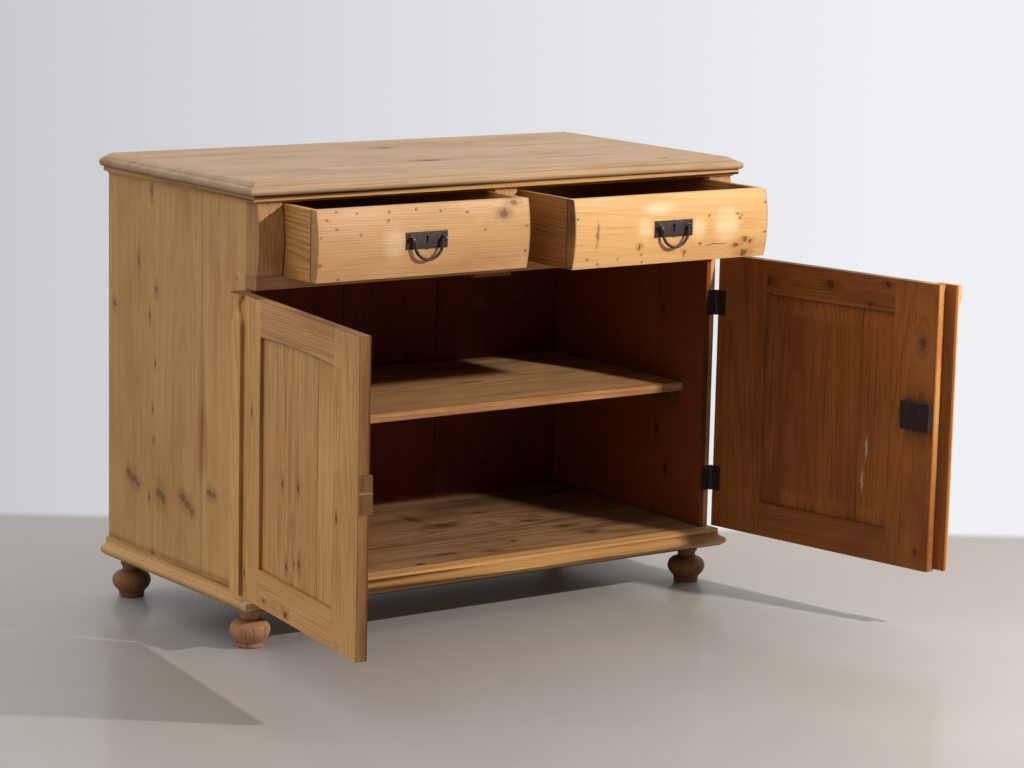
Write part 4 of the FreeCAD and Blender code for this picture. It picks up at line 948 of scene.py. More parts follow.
    def sky(self) -> None:
        """Lights the scene from a pale sky, dark at the skyline and behind the camera."""
        world = bpy.data.worlds.new("pale_room")
        bpy.context.scene.world = world
        world.use_nodes = True
        tree = world.node_tree
        tree.nodes.clear()
        look = add(tree, "SeparateXYZ", {0: add(tree, "TexCoord")}).node.outputs
        lift = add(tree, "MapRange", {0: look[2], 1: 0.0, 2: self.sky_rise, 3: self.sky_low,
                                      4: self.sky_high})
        least, most = self.sky_turn
        front = add(tree, "MapRange", {0: look[1], 1: least, 2: most, 3: self.sky_front, 4: 1.0})
        light = add(tree, "Math", {0: lift, 1: front}, operation="MULTIPLY")
        seen = add(tree, "LightPath")
        strength = add(tree, "Mix", {0: seen, 2: light, 3: self.sky_seen})
        add(tree, "OutputWorld", {0: add(tree, "Background", {0: linear("#eceae8"), 1: strength})})
        bpy.context.scene.view_settings.view_transform = "Standard"

    def lamp(self) -> None:
        """Hangs one lamp at the right front, the side that the photograph's shadows fall away from."""
        data = bpy.data.lights.new("lamp", "AREA")
        data.shape = "DISK"
        data.size = self.lamp_size * MM
        data.energy = self.lamp_power
        data.color = linear("#fff5ea")[:3]
        lamp = bpy.data.objects.new("lamp", data)
        place = Vector(self.lamp_place)
        lamp.location = place * MM
        lamp.rotation_euler = (Vector(self.lamp_aim) - place).to_track_quat("-Z", "Y").to_euler()
        lamp.visible_camera = False
        bpy.context.scene.collection.objects.link(lamp)


@dataclass
class Carcass:
    """The case: top, sides, back, floor, shelf, rails and mouldings. Sizes in mm.

    Attributes:
        half_width: Half the width over the sides.
        front: The sides' front edges.
        top: The top's upper face.
        top_middle: Where the top's marks are measured from, front to back.
        cornice_level: A level on the strip under the top.
        base_level: A level on the strip round the foot, which upright boards are measured from too.
        side_seam: Where each side's two boards meet.
        floor_top: The floor's upper face.
        floor_middle: Where the floor's marks are measured from, front to back.
        shelf_top: The shelf's upper face.
        shelf_front: The shelf's front edge.
        stop_level: A level on the door stop.
        block_at: Place front to back, and level, of the blocks beside the drawers.
        screw_out: How far out the hinge screws are.
        back_seams: Where the back boards meet.
        back_inside: The back boards' inside face.
        tongue: Width and thickness of the tongues between them.
        tongue_middle: The middle of the tongues' thickness, front to back.
        tongue_levels: The tongues' lower and upper ends.
        tongue_edge: Width of the tongues' rounded edges.
    """

    half_width: float = 575.0
    front: float = -272.5
    top: float = 917.0
    top_middle: float = -30.0
    cornice_level: float = 880.0
    base_level: float = 100.0
    side_seam: float = -110.0
    floor_top: float = 121.0
    floor_middle: float = -20.0
    shelf_top: float = 425.0
    shelf_front: float = -203.0
    stop_level: float = 700.0
    block_at: tuple[float, float] = (-300.0, 806.0)
    screw_out: float = 563.0
    back_seams: tuple[float, ...] = (-259.0, -16.0, 227.0)
    back_inside: float = 262.0
    tongue: tuple[float, float] = (10.0, 4.0)
    tongue_middle: float = 265.5
    tongue_levels: tuple[float, float] = (86.0, 891.0)
    tongue_edge: float = 0.5

    def build(self) -> None:
        """Drives the hinge screws in the sides, and fits the tongues between the back boards."""
        screws = bmesh.new()
        for sign in (-1, 1):
            for level in HINGE_LEVELS:
                for lift in SCREW_LIFTS:
                    stud(screws, (sign * self.screw_out, self.front, level + lift), FORWARD, *SCREW_HEAD)
        iron = Iron("case_hinge_screws", 4.0, 0.3)
        piece("case_hinge_screws", screws, "carcass", iron.material())
        tongues = bmesh.new()
        low, high = self.tongue_levels
        for seam in self.back_seams:
            middle = Vector((seam, self.tongue_middle, (low + high) / 2)) * MM
            size = Matrix.Diagonal((*self.tongue, high - low, 1.0))
            bmesh.ops.create_cube(tongues, size=MM, matrix=Matrix.Translation(middle) @ size)
        bmesh.ops.bevel(tongues, geom=tongues.edges[:], offset=self.tongue_edge * MM, affect="EDGES",
                        segments=2, profile=0.5, material=-1)
        board = Board((0, self.tongue_middle, self.base_level), UP, WIDE)
        grain = Pine("back_tongues", board, Tone.DARK, seed=21.0)
        piece("back_board_tongues", tongues, "carcass", grain.material())

    def dress(self) -> None:
        """Gives every piece of the case its finish."""
        self.dress_top()
        self.dress_mouldings()
        self.dress_sides()
        self.dress_rails()
        self.dress_back()
        self.dress_floor()
        self.dress_shelf()
        iron = Iron("hinges").material()
        dress_node("hinge_frame_leaves", iron, 0.5)
        dress_node("hinge_pins", iron, 0.3)

    def dress_top(self) -> None:
        """Dresses the top, of three boards, greyed by use."""
        # The two dark bands under the top's front nose are painted shade.
        top = Pine(
            "top", Board((0, self.top_middle, self.top), WIDE, DEEP, (-115.0, 105.0)), Tone.TOP, seed=3.2,
            pith=(10, 75), slope=0.04, open_seams=0.15, figure=0.35, wave=0.8, streaks=0.6,
            knots=((-50, -82, 20, 9), (0, 165, 14, 12), (430, -240, 8, 7)),
            cracks=((215, 290, -62), (20, 90, -138), (-420, -250, -122)),
            marks=(Mark((-290, -122, 50, 14), Shade.PALE, 0.2), Mark((-50, -80, 40, 22), Shade.GREY, 0.25),
                   Mark((330, 40, 160, 40), Shade.PALE, 0.12), Mark((-600, 285, 14, 40), Shade.RED, 0.5)),
            grime=((2, -24, 5, 0.5), (2, -7, 2, 0.35)))
        dress_node("top_board", top.material(), 1.4)

    def dress_mouldings(self) -> None:
        """Dresses the strips under the top and round the foot of the case."""
        corner = (self.half_width, self.front)
        upper = Board((0, 0, self.cornice_level), WIDE, DEEP, returns=corner)
        lower = Board((0, 0, self.base_level), WIDE, DEEP, returns=corner)
        # The band at the strip's top is painted shade under the top.
        cornice = Pine("cornice", upper, Tone.CASE, seed=5.1, grime=((2, 12, 4, 0.6),))
        dress_node("cornice", cornice.material(), 0.8)
        chips = (Mark((-586, -302, 9, 14), Shade.PALE, 0.5), Mark((-304, -588, 12, 9), Shade.PALE, 0.4),
                 Mark((-560, -308, 16, 8), Shade.DIRT, 0.5), Mark((-230, -590, 60, 6), Shade.GREY, 0.4))
        # The lower band is painted shade at the strip's foot; the upper band is dirt along its top, with
        # painted shade in that crease.
        base = Pine("base_moulding", lower, Tone.CASE, seed=9.4, wild=0.2, figure=0.2, pith=(-700, 300),
                    wave=0.4, streaks=0.15, lines=0.15, stains=0.25, marks=chips,
                    grime=((2, -15, 3, 0.4), (2, 20, 2.5, 0.4)))
        dress_node("base_moulding", base.material(), 0.9)

    def dress_sides(self) -> None:
        """Dresses the sides: the left with its knots and scars outside, the right with its knots inside."""
        pins = ((612, 145, 11, 4), (564, 73, 6, 7), (512, 247, 6, 6), (508, 100, 6, 4), (414, 78, 5, 4),
                (320, 88, 5, 3), (255, 82, 4, 3), (135, 102, 5, 4), (22, 85, 4, 7), (758, 93, 9, 5))
        whorl = ((172, 186, 7, 9), (163, 166, 8, 12), (154, 148, 6, 9), (150, 58, 10, 13), (142, 44, 8, 9),
                 (160, -36, 6, 12), (149, -54, 7, 12), (138, -72, 5, 9), (189, -140, 6, 9),
                 (187, -154, 4, 10))
        scars = (Mark((360, -108, 130, 14), Shade.RED, 0.6), Mark((285, -112, 70, 26), Shade.RED, 0.5),
                 Mark((690, -180, 50, 22), Shade.PALE, 0.14), Mark((627, -240, 4, 3), Shade.DIRT, 0.9),
                 Mark((420, -150, 300, 26), Shade.RED, 0.16), Mark((560, -200, 190, 70), Shade.RED, 0.16),
                 Mark((300, 235, 280, 50), Shade.RED, 0.13))
        inside = ((473, -130, 7, 6), (209, -117, 8, 7), (126, -150, 7, 6), (560, 90, 6, 5), (330, 160, 7, 6))
        # Painted shade along the right side's front edge.
        shaded = (Mark((316, self.front, 190, 3), Shade.DIRT, 0.6),)
        for hand, sign, knots, marks in (("left", -1, whorl + pins, scars), ("right", 1, inside, shaded)):
            # The band just above the strip round the foot darkens the sides there.
            board = Board((sign * self.half_width, 0, self.base_level), UP, DEEP, (self.side_seam,))
            side = Pine(f"{hand}_side", board, Tone.CASE, seed=11.0 + 3 * sign, pith=(0, 90), wave=0.5,
                        figure=0.26, streaks=0.25, lines=0.22, fill=0.55, knots=knots, marks=marks,
                        inner=(sign * 12.0, sign), tint="#a0705c", open_seams=0.5, grime=((0, 25, 10, 0.4),))
            dress_node(f"{hand}_side", side.material())

    def dress_rails(self) -> None:
        """Dresses the rails across the front and the bowed blocks beside and between the drawers."""
        for name, level, tone in (("plinth_rail", 110, Tone.FRONT), ("drawer_rail", 724, Tone.AGED),
                                  ("top_front_rail", 884, Tone.CASE)):
            rail = Pine(name, Board((0, self.front, level), WIDE, UP), tone, seed=level * 0.1)
            dress_node(name, rail.material())
        # The blocks' darker tone is partly painted shade, where the drawn-out drawers shade them; the bands
        # at their ends are painted shade in the creases, with some dirt.
        for name, x in (("left_frieze_block", -546), ("drawer_divider", 0), ("right_frieze_block", 546)):
            board = Board((x, *self.block_at), UP, WIDE)
            block = Pine(name, board, Tone.AGED, seed=40 + x * 0.01, pith=(60, 60),
                         grime=((0, -70, 6, 0.5), (0, 70, 6, 0.4)))
            dress_node(name, block.material())

    def dress_back(self) -> None:
        """Dresses the back boards: raw outside, dark red-brown inside."""
        knots = ((450, 340, 10, 8), (462, 441, 9, 8), (340, 124, 9, 8), (110, 359, 9, 8), (117, 451, 9, 8))
        worn = tuple(Mark((along, across, 16, 14), Shade.PALE, 0.07, True) for along, across, *_ in knots[:4])
        board = Board((0, self.back_inside, self.base_level), UP, WIDE, self.back_seams)
        back = Pine("back", board, Tone.RAW, seed=20.0, ring=6.0, streaks=0.7, knots=knots, marks=worn,
                    inner=(3.0, -1), tint="#9c4f30", rough=0.65)
        dress_node("back_boards", back.material(), 0.8)

    def dress_floor(self) -> None:
        """Dresses the floor of the case, knotty and stained, with painted shade towards the back."""
        floor = Pine(
            "case_floor", Board((0, self.floor_middle, self.floor_top), WIDE, DEEP, (-92.0, 70.0)),
            Tone.INNER, seed=23.0, ring=6.0, figure=0.8, open_seams=0.4, streaks=0.8, lines=0.7, stains=0.8,
            wave=1.2, wild=0.3,
            knots=((80, 30, 18, 14), (225, 100, 7, 6), (270, -20, 8, 6), (310, -100, 12, 9),
                   (325, -172, 11, 11), (130, -160, 6, 5), (-60, -195, 9, 6), (35, -215, 9, 7)),
            cracks=((-200, 350, -110), (-100, 300, -15), (-150, 120, -200)),
            # The two large dark marks at the back are painted shade, deepening towards the back and the
            # right.
            marks=(Mark((-155, -240, 11, 9), Shade.DIRT, 0.95), Mark((60, 120, 16, 60), Shade.DIRT, 0.4),
                   Mark((80, 30, 40, 34), Shade.GREY, 0.35), Mark((60, 250, 620, 120), Shade.DIRT, 0.4),
                   Mark((430, 60, 170, 260), Shade.DIRT, 0.4)))
        dress_node("bottom_board", floor.material())

    def dress_shelf(self) -> None:
        """Dresses the shelf, the door stop, the runners, the cleats and the foot blocks."""
        shelf = Pine(
            "shelf", Board((0, 0, self.shelf_top), WIDE, DEEP, (40.0,)), Tone.SHELF, seed=26.0, ring=6.0,
            figure=0.8, streaks=0.7, lines=0.6, stains=0.6, wild=0.25,
            # The broad dark mark at the back is painted shade.
            marks=(Mark((0, self.shelf_front, 640, 5), Shade.RED, 0.5),
                   Mark((330, 200, 400, 90), Shade.DIRT, 0.35)))
        dress_node("shelf", shelf.material())
        stop = Pine("door_stop", Board((0, self.front, self.stop_level), WIDE, UP), Tone.WORN, seed=70.0)
        dress_node("door_stop", stop.material())
        # The bands at the bearers' front ends darken them there.
        for name in ("side_runners", "centre_runner", "shelf_cleats", "foot_blocks"):
            bearer = Pine(name, Board((0, 0, 0), DEEP, WIDE), Tone.DARK, seed=50 + len(name),
                          grime=((0, self.shelf_front, 14, 0.4),))
            dress_node(name, bearer.material())


@dataclass
class Feet:
    """Four turned bun feet. Sizes in mm.

    Attributes:
        out: How far each is from the middle of the case.
        rows: How far back the front and rear ones are.
        steps: Sides of each turned round.
        profile: Radius and level of each point of the turned outline.
    """

    out: float = 543.0
    rows: dict[str, float] = field(default_factory=lambda: {"front": -245.5, "rear": 232.5})
    steps: int = 56
    profile: tuple[tuple[float, float], ...] = (
        (0.0, 0.0), (24.4, 0.0), (25.8, 1.6), (26.1, 6.0), (26.6, 10.5), (29.0, 13.6), (33.6, 18.4),
        (37.6, 24.4), (39.6, 30.4), (39.9, 35.4), (38.8, 40.8), (36.0, 45.6), (31.0, 50.0), (25.0, 52.8),
        (20.6, 54.2), (19.0, 56.0), (18.6, 59.0), (19.0, 62.4), (20.2, 65.2), (22.0, 66.8), (22.4, 68.6),
        (22.4, 83.0), (22.0, 85.0), (0.0, 85.0))

    def build(self) -> None:
        """Turns each foot and sets it under its corner."""
        for end, y in self.rows.items():
            for hand, sign in (("left", -1), ("right", 1)):
                name = f"{end}_{hand}_foot"
                centre = Vector((sign * self.out, y, 0.0)) * MM
                bm = bmesh.new()
                row = chain(bm, [(centre.x + r * MM, centre.y, z * MM) for r, z in self.profile])
                bmesh.ops.spin(bm, geom=row, cent=centre, axis=UP, dvec=NO_DRIFT, angle=FULL_TURN,
                               steps=self.steps, use_merge=True)
                grain = Board((sign * self.out, y, 0), UP, WIDE)
                tone = Tone.FOOT if name == "front_left_foot" else Tone.SMOKED
                # The band at the neck is painted shade in its hollow, with some dirt; the low one darkens the
                # ring over the base.
                pine = Pine(name, grain, tone, seed=61 + sign * 3 + y * 0.01, pith=(14, 12), slope=0.12,
                            rough=0.6, wild=0.04, figure=0.7, cracks=((18, 48, 12),),
                            grime=((0, 56, 5, 0.8), (0, 11, 3, 0.5)))
                foot = piece(f"turned_{name}", bm, "carcass", pine.material())
                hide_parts(name)


@dataclass
class Door:
    """One panelled door, turned about its pin to where it rests. Sizes in mm, angles in degrees.

    Attributes:
        hand: Which door.
        pin: The hinge pin's place.
        closed: The way it points when shut.
        opened: How far it is turned open from there, anticlockwise as seen from above.
        inner_sign: 1 where its boards' depth grows inwards, and -1 where it grows outwards.
        seed: Which trees its boards came from.
        stains: How dark its cloudy stains are.
        ripple: How far its top rail's rings ripple.
        knots: Each piece's knots.
        marks: Each piece's marks.
        edge_grime: How dirty its free edge is.
        inside_face: Depth of its inside face from the pin.
        screw_along: How far from the pin the hinge screws are.
        lock_face: Depth of the lock's face.
        rivets: Places along of the lock's rivets, and their levels.
        rivet_head: A rivet's radius and height.
        edge: Its free edge, from the pin.
        top: Its upper end.
        opening: Where the panel's opening starts and ends, from the pin.
        opening_levels: The opening's lower and upper ends.
        panel_seam: Where the panel's two boards meet.
        pilaster_edge: Where the strip on the hinge stile ends.
    """

    hand: str
    pin: tuple[float, float]
    closed: float
    opened: float
    inner_sign: int
    seed: float
    stains: float
    ripple: float
    knots: dict[str, tuple[Spot, ...]]
    marks: dict[str, tuple[Mark, ...]]
    edge_grime: float = 0.0
    inside_face: float = -0.5
    screw_along: float = 17.0
    lock_face: float = 15.5
    rivets: tuple[tuple[float, float], tuple[float, float]] = ((513.0, 573.0), (417.0, 463.0))
    rivet_head: tuple[float, float] = (2.6, 0.9)
    edge: float = 579.0
    top: float = 709.0
    opening: tuple[float, float] = (137.0, 472.0)
    opening_levels: tuple[float, float] = (195.0, 639.0)
    panel_seam: float = 390.0
    pilaster_edge: float = 59.0

    def way(self) -> Triple:
        """Gives the direction from the hinge pin to the door's free edge."""
        angle = math.radians(self.closed + self.opened)
        return (math.cos(angle), math.sin(angle), 0.0)

    def inward(self) -> Vector:
        """Gives the way the door's inside face looks."""
        return Vector(UP).cross(Vector(self.way())) * self.inner_sign

    def spot(self, along: float, depth: float, z: float) -> Vector:
        """Gives the place, in mm, of a point on the door by its distance from the pin, depth and level."""
        return Vector((*self.pin, z)) + Vector(self.way()) * along + self.inward() * depth

    def build(self) -> None:
        """Drives the hinge screws and, on the right door, rivets the lock."""
        screws = bmesh.new()
        for level in HINGE_LEVELS:
            for lift in SCREW_LIFTS:
                place = self.spot(self.screw_along, self.inside_face, level + lift)
                stud(screws, place, self.inward(), *SCREW_HEAD)
        if self.hand == "right":
            for along in self.rivets[0]:
                for z in self.rivets[1]:
                    stud(screws, self.spot(along, self.lock_face, z), self.inward(), *self.rivet_head)
        iron = Iron(f"{self.hand}_door_screws", 4.0, 0.3)
        piece(f"{self.hand}_door_screws", screws, f"{self.hand}_door", iron.material())

    def pine(self, part: str, board: Board, seed: float, tone: Tone = Tone.DOOR, **more: object) -> Pine:
        """Makes the finish of one of the door's pieces.

        Args:
            part: The piece.
            board: How it lies.
            seed: Which board of the door's wood it is.
            tone: How aged it is.
            **more: The pine's other options.

        Returns:
            The finish.
        """
        return Pine(f"{self.hand}_door_{part}", board, tone, self.seed + seed, knots=self.knots.get(part, ()),
                    marks=self.marks.get(part, ()), **more)

    def frame_finishes(self) -> list[Pine]:
        """Makes the finishes of the stiles and rails, with painted shade and some dirt along the panel's
        opening, and darker top ends.

        Returns:
            Four finishes.
        """
        at = (*self.pin, 0.0)
        upright = Board(at, UP, self.way())
        level = Board(at, self.way(), UP)
        side = self.inner_sign
        inner = (-4.0 * side, side)
        flipped = (4.0 * side, -side)
        near, far = self.opening
        low, high = self.opening_levels
        edge = ((1, self.edge, 3, self.edge_grime),) if self.edge_grime else ()
        top_end = (0, self.top, 2, 0.8)
        # The bands along the panel's opening are painted shade in its recess, with some dirt; the top ends
        # are darkened.
        return [
            self.pine("hinge_stile", upright, 0, pith=(60, 90), wave=0.6, inner=inner, stains=self.stains,
                      grime=((1, near, 0.8, 0.5), top_end)),
            self.pine("meeting_stile", upright, 2, pith=(520, 90), wave=0.6, inner=inner, stains=self.stains,
                      grime=edge + ((1, far, 0.8, 0.8), top_end)),
            self.pine("top_rail", level, 4, ring=5.0, pith=(900, 40), slope=0.0, wave=0.5, figure=1.0,
                      ripple=self.ripple, inner=flipped, stains=self.stains,
                      grime=((1, high, 1.5, 0.5), (1, self.top, 2, 0.8))),
            self.pine("bottom_rail", level, 6, pith=(40, 50), slope=0.01, figure=0.6, inner=flipped,
                      stains=self.stains, grime=((1, low, 1.5, 0.4),)),
        ]

    def filling_finishes(self) -> list[Pine]:
        """Makes the finishes of the panel, the shaped strips and, on the left door, the keeper.

        Returns:
            Three finishes.
        """
        at = (*self.pin, 0.0)
        upright = Board(at, UP, self.way())
        panel = Board(at, UP, self.way(), (self.panel_seam,))
        side = self.inner_sign
        near, far = self.opening
        low, high = self.opening_levels
        finishes = [
            # The panel's bands along the opening are painted shade in the recess, with some dirt; the band at
            # the strip's free edge is painted shade on its side.
            self.pine("panel", panel, 8, pith=(250, 110), slope=0.02, wave=0.5, figure=0.5, lines=0.7,
                      inner=(-11.0 * side, side), open_seams=0.7, stains=self.stains,
                      grime=((1, near, 4, 0.35), (1, far, 3, 0.3), (0, low, 3, 0.4), (0, high, 3, 0.3))),
            self.pine("pilaster", upright, 10, pith=(30, 70),
                      grime=((1, self.pilaster_edge, 3, 0.6), (0, self.top, 2, 0.8))),
        ]
        if self.hand == "left":
            finishes.append(self.pine("keeper", upright, 12, Tone.WORN))
        else:
            finishes.append(self.pine("astragal", upright, 12, inner=(30.0, -1)))
        return finishes

    def dress(self) -> None:
        """Gives the frame, panel, shaped strips and ironwork their finishes."""
        for pine in self.frame_finishes() + self.filling_finishes():
            dress_node(pine.name, pine.material(), 1.0)
        iron = Iron(f"{self.hand}_door_fittings").material()
        dress_node(f"{self.hand}_door_hinge_leaves", iron, 0.5)
        if self.hand == "right":
            for part, wear in (("lock", 1.2), ("escutcheon", 0.4), ("bolt", 0.4)):
                dress_node(f"right_door_{part}", iron, wear)


@dataclass
class Drawer:
    """One bow-fronted drawer with its plate and hanging bail, drawn out as it rests. Sizes in mm.

    Attributes:
        hand: Which drawer.
        middle: The middle of its width.
        pull: How far it is drawn out.
        seed: Which trees its boards came from.
        tone: Tone of its face: its age, and on the left drawer a darker copy painted as shade.
        side_tone: Tone of its sides: their age, and on the right drawer a darker copy painted as shade.
        end_grime: How dark the left end of its face is: painted shade where it meets its neighbour, with some
            dirt.
        knots: The face's knots.
        marks: The face's marks.
        nails: Places of the nails in the face, from its middle.
        cracks: The face's splits.
        level: The middle of the face's height.
        crown: The foremost line of the bowed face, pushed in.
        bow: Radius of the bow.
        half_face: Half the face's width.
        bail_depth: The bail's pivots, front to back, pushed in.
        bail_level: Their level.
        bail_radius: Radius of the bail's bend.
        bail_leg: Length of its legs, with their elbows.
        wire: Radius of its wire.
        thin: How much the wire thins at its elbows.
        elbow: Size of the elbows.
        eye: Where the wire ends, from the middle, less its elbow.
        eye_middle: The eyes' middles, from the middle.
        eye_reach: How far the eyes stand out of the plate.
        eye_radius: Their outer radius.
        plate_front: The plate's front, pushed in.
        plate_nails: Places of the plate's four nails, from its middle.
        rose_profile: Radius and height of each point of the boss at an eye's foot.
        wire_sides: Sides of the wire.
        bend_steps: Sides of the bail's bend.
        rose_steps: Sides of a boss.
        box_level: A level on the box's sides and back.
        bottom_level: A level on its bottom.
    """

    hand: str
    middle: float
    pull: float
    seed: float
    tone: Tone
    side_tone: Tone
    end_grime: float
    knots: tuple[Spot, ...]
    marks: tuple[Mark, ...]
    nails: tuple[tuple[float, float], ...]
    cracks: tuple[Triple, ...] = ()
    level: float = 806.5
    crown: float = -321.5
    bow: float = 253.5
    half_face: float = 243.5
    bail_depth: float = -329.5
    bail_level: float = 809.5
    bail_radius: float = 32.0
    bail_leg: float = 8.0
    wire: float = 3.0
    thin: float = 0.86
    elbow: float = 1.2
    eye: float = 40.0
    eye_middle: float = 37.2
    eye_reach: float = 10.4
    eye_radius: float = 4.4
    plate_front: float = -323.5
    plate_nails: tuple[float, float] = (42.0, 12.0)
    rose_profile: tuple[tuple[float, float], ...] = (
        (0.0, -0.5), (7.4, -0.5), (7.4, 0.9), (6.4, 2.0), (4.0, 2.6), (0.0, 2.7))
    wire_sides: int = 14
    bend_steps: int = 40
    rose_steps: int = 18
    box_level: float = 800.0
    bottom_level: float = 750.0

    def face_at(self, z: float) -> tuple[float, Vector]:
        """Finds the bowed front at a level, drawn out as it is.

        Args:
            z: The level, in mm.

        Returns:
            Its place front to back, and the way it faces there.
        """
        rise = z - self.level
        back = math.sqrt(self.bow ** 2 - rise ** 2)
        return self.crown - self.pull + self.bow - back, Vector((0.0, -back, rise)).normalized()

    def build(self) -> None:
        """Bends the bail, drives the nails and fits the eyes' heads."""
        self.bend_bail()
        self.drive_nails()

    def bend_bail(self) -> None:
        """Bends the bail from round wire: a half circle, two legs, and an elbow into each eye."""
        iron = Iron(f"{self.hand}_bail", 7.0, 0.45).material()
        centre = Vector((self.middle, self.bail_depth - self.pull, self.bail_level - self.bail_leg)) * MM
        bm = bmesh.new()
        start = Matrix.Translation(centre + Vector((self.bail_radius * MM, 0.0, 0.0)))
        circle = bmesh.ops.create_circle(bm, segments=self.wire_sides, radius=self.wire * MM, matrix=start)
        ring = circle["verts"]
        first = list({edge for vert in ring for edge in vert.link_edges})
        bend = bmesh.ops.spin(bm, geom=ring + first, cent=centre, axis=DEEP, dvec=NO_DRIFT, angle=math.pi,
                              steps=self.bend_steps)
        last = [part for part in bend["geom_last"] if isinstance(part, bmesh.types.BMEdge)]
        for edges, sign in ((first, 1), (last, -1)):
            leg = (0.0, 0.0, self.bail_leg - self.elbow)
            elbow = (sign * self.elbow, 0.0, self.elbow)
            tip = (sign * (self.eye - self.bail_radius), 0.0, 0.0)
            for offset in (leg, elbow, tip):
                grown = bmesh.ops.extrude_edge_only(bm, edges=edges)["geom"]
                verts = [part for part in grown if isinstance(part, bmesh.types.BMVert)]
                edges = [part for part in grown
                         if isinstance(part, bmesh.types.BMEdge) and not part.link_faces[1:]]
                bmesh.ops.translate(bm, verts=verts, vec=Vector(offset) * MM)
                if offset is elbow:
                    middle = sum((v.co for v in verts), Vector()) / len(verts)
                    bmesh.ops.scale(bm, verts=verts, vec=(self.thin, self.thin, self.thin),
                                    space=Matrix.Translation(-middle))
                    bmesh.ops.rotate(bm, verts=verts, cent=middle,
                                     matrix=Matrix.Rotation(sign * math.pi / 2, 3, "Y"))
            bmesh.ops.contextual_create(bm, geom=edges)
        bail = piece(f"{self.hand}_drop_handle", bm, f"{self.hand}_drawer_bail", iron)
        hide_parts(f"{self.hand}_drawer_bail")

    def drive_nails(self) -> None:
        """Drives the nails in the face and the plate, and sets a boss and two heads on each eye; the heads'
        pale bare metal is partly a painted glint.
        """
        face_nail, plate_nail, eye_front, eye_top = (1.5, 0.12), (1.9, 0.7), (2.2, 1.3), (1.9, 1.0)
        front_lift, top_back = 1.0, 5.0
        plate = self.plate_front - self.pull
        nails = bmesh.new()
        for along, up in self.nails:
            y, facing = self.face_at(self.level + up)
            stud(nails, (self.middle + along, y, self.level + up), facing, *face_nail)
        out, rise = self.plate_nails
        for along in (-out, out):
            for up in (-rise, rise):
                stud(nails, (self.middle + along, plate, self.level + up), FORWARD, *plate_nail)
        eyes = bmesh.new()
        for along in (-self.eye_middle, self.eye_middle):
            self.rose(nails, along)
            front = plate - self.eye_reach
            stud(eyes, (self.middle + along, front, self.bail_level + front_lift), FORWARD, *eye_front)
            top = (self.middle + along, front + top_back, self.bail_level + self.eye_radius)
            stud(eyes, top, UP, *eye_top)
        # The eye heads are all bare pale metal: worn iron, and painted glints.
        for name, bm, bright in (("eye_heads", eyes, 1.0), ("nails", nails, 0.2)):
            iron = Iron(f"{self.hand}_drawer_{name}", 4.0, bright)
            piece(f"{self.hand}_drawer_{name}", bm, f"{self.hand}_drawer", iron.material())

    def rose(self, bm: bmesh.types.BMesh, along: float) -> None:
        """Adds the round boss at the foot of one of the eyes.

        Args:
            bm: The mesh.
            along: Its place from the drawer's middle, in mm.
        """
        centre = Vector((self.middle + along, self.plate_front - self.pull, self.bail_level)) * MM
        row = chain(bm, [centre + Vector((out * MM, -height * MM, 0.0)) for out, height in self.rose_profile])
        bmesh.ops.spin(bm, geom=row, cent=centre, axis=DEEP, dvec=NO_DRIFT, angle=FULL_TURN,
                       steps=self.rose_steps, use_merge=True)

    def dress(self) -> None:
        """Gives the box its pine and the ironwork its iron."""
        name = f"{self.hand}_drawer"
        front = Board((self.middle, self.crown - self.pull, self.level), WIDE, UP)
        holes = tuple(Mark((along, up, 4.5, 3.4), Shade.DIRT, 0.5) for along, up in self.nails)
        # Painted shade: the wood behind the plate's keyhole is painted near black, as the dark inside of the
        # hole.
        keyhole_shadow = (Mark((0, 0, 12, 14), Shade.DIRT, 4.0),)
        # The bands at the face's two ends are painted shade where it meets its neighbours, with some dirt.
        face = Pine(f"{name}_face", front, self.tone, self.seed, pith=(-90, 70), slope=0.03, ring=4.5,
                    wave=0.6, knots=self.knots, marks=self.marks + holes + keyhole_shadow, cracks=self.cracks,
                    inner=(-26.0, -1), rough=0.46, figure=0.16, lines=0.14, streaks=0.22, wild=0.05,
                    grime=((0, -self.half_face, 4, self.end_grime), (0, self.half_face, 5, 0.4)))
        box = (self.middle, 0, self.box_level)
        floor = Board((self.middle, 0, self.bottom_level), WIDE, DEEP, (-120.0, 60.0))
        sides = Pine(f"{name}_sides", Board(box, DEEP, UP), self.side_tone, self.seed + 3, figure=0.9,
                     lines=0.8)
        back = Pine(f"{name}_back", Board(box, WIDE, UP), Tone.INNER, self.seed + 5, ring=6.0)
        bottom = Pine(f"{name}_bottom", floor, Tone.INNER, self.seed + 7, ring=6.0)
        for pine, wear in ((face, 1.0), (sides, 0.9), (back, 0.9), (bottom, 0.9)):
            dress_node(pine.name, pine.material(), wear)
        iron = Iron(f"{name}_plate", 8.0, 0.4).material()
        for part, wear in (("lock", 0.5), ("plate", 0.5), ("bolt", 0.4)):
            dress_node(f"{name}_{part}", iron, wear)


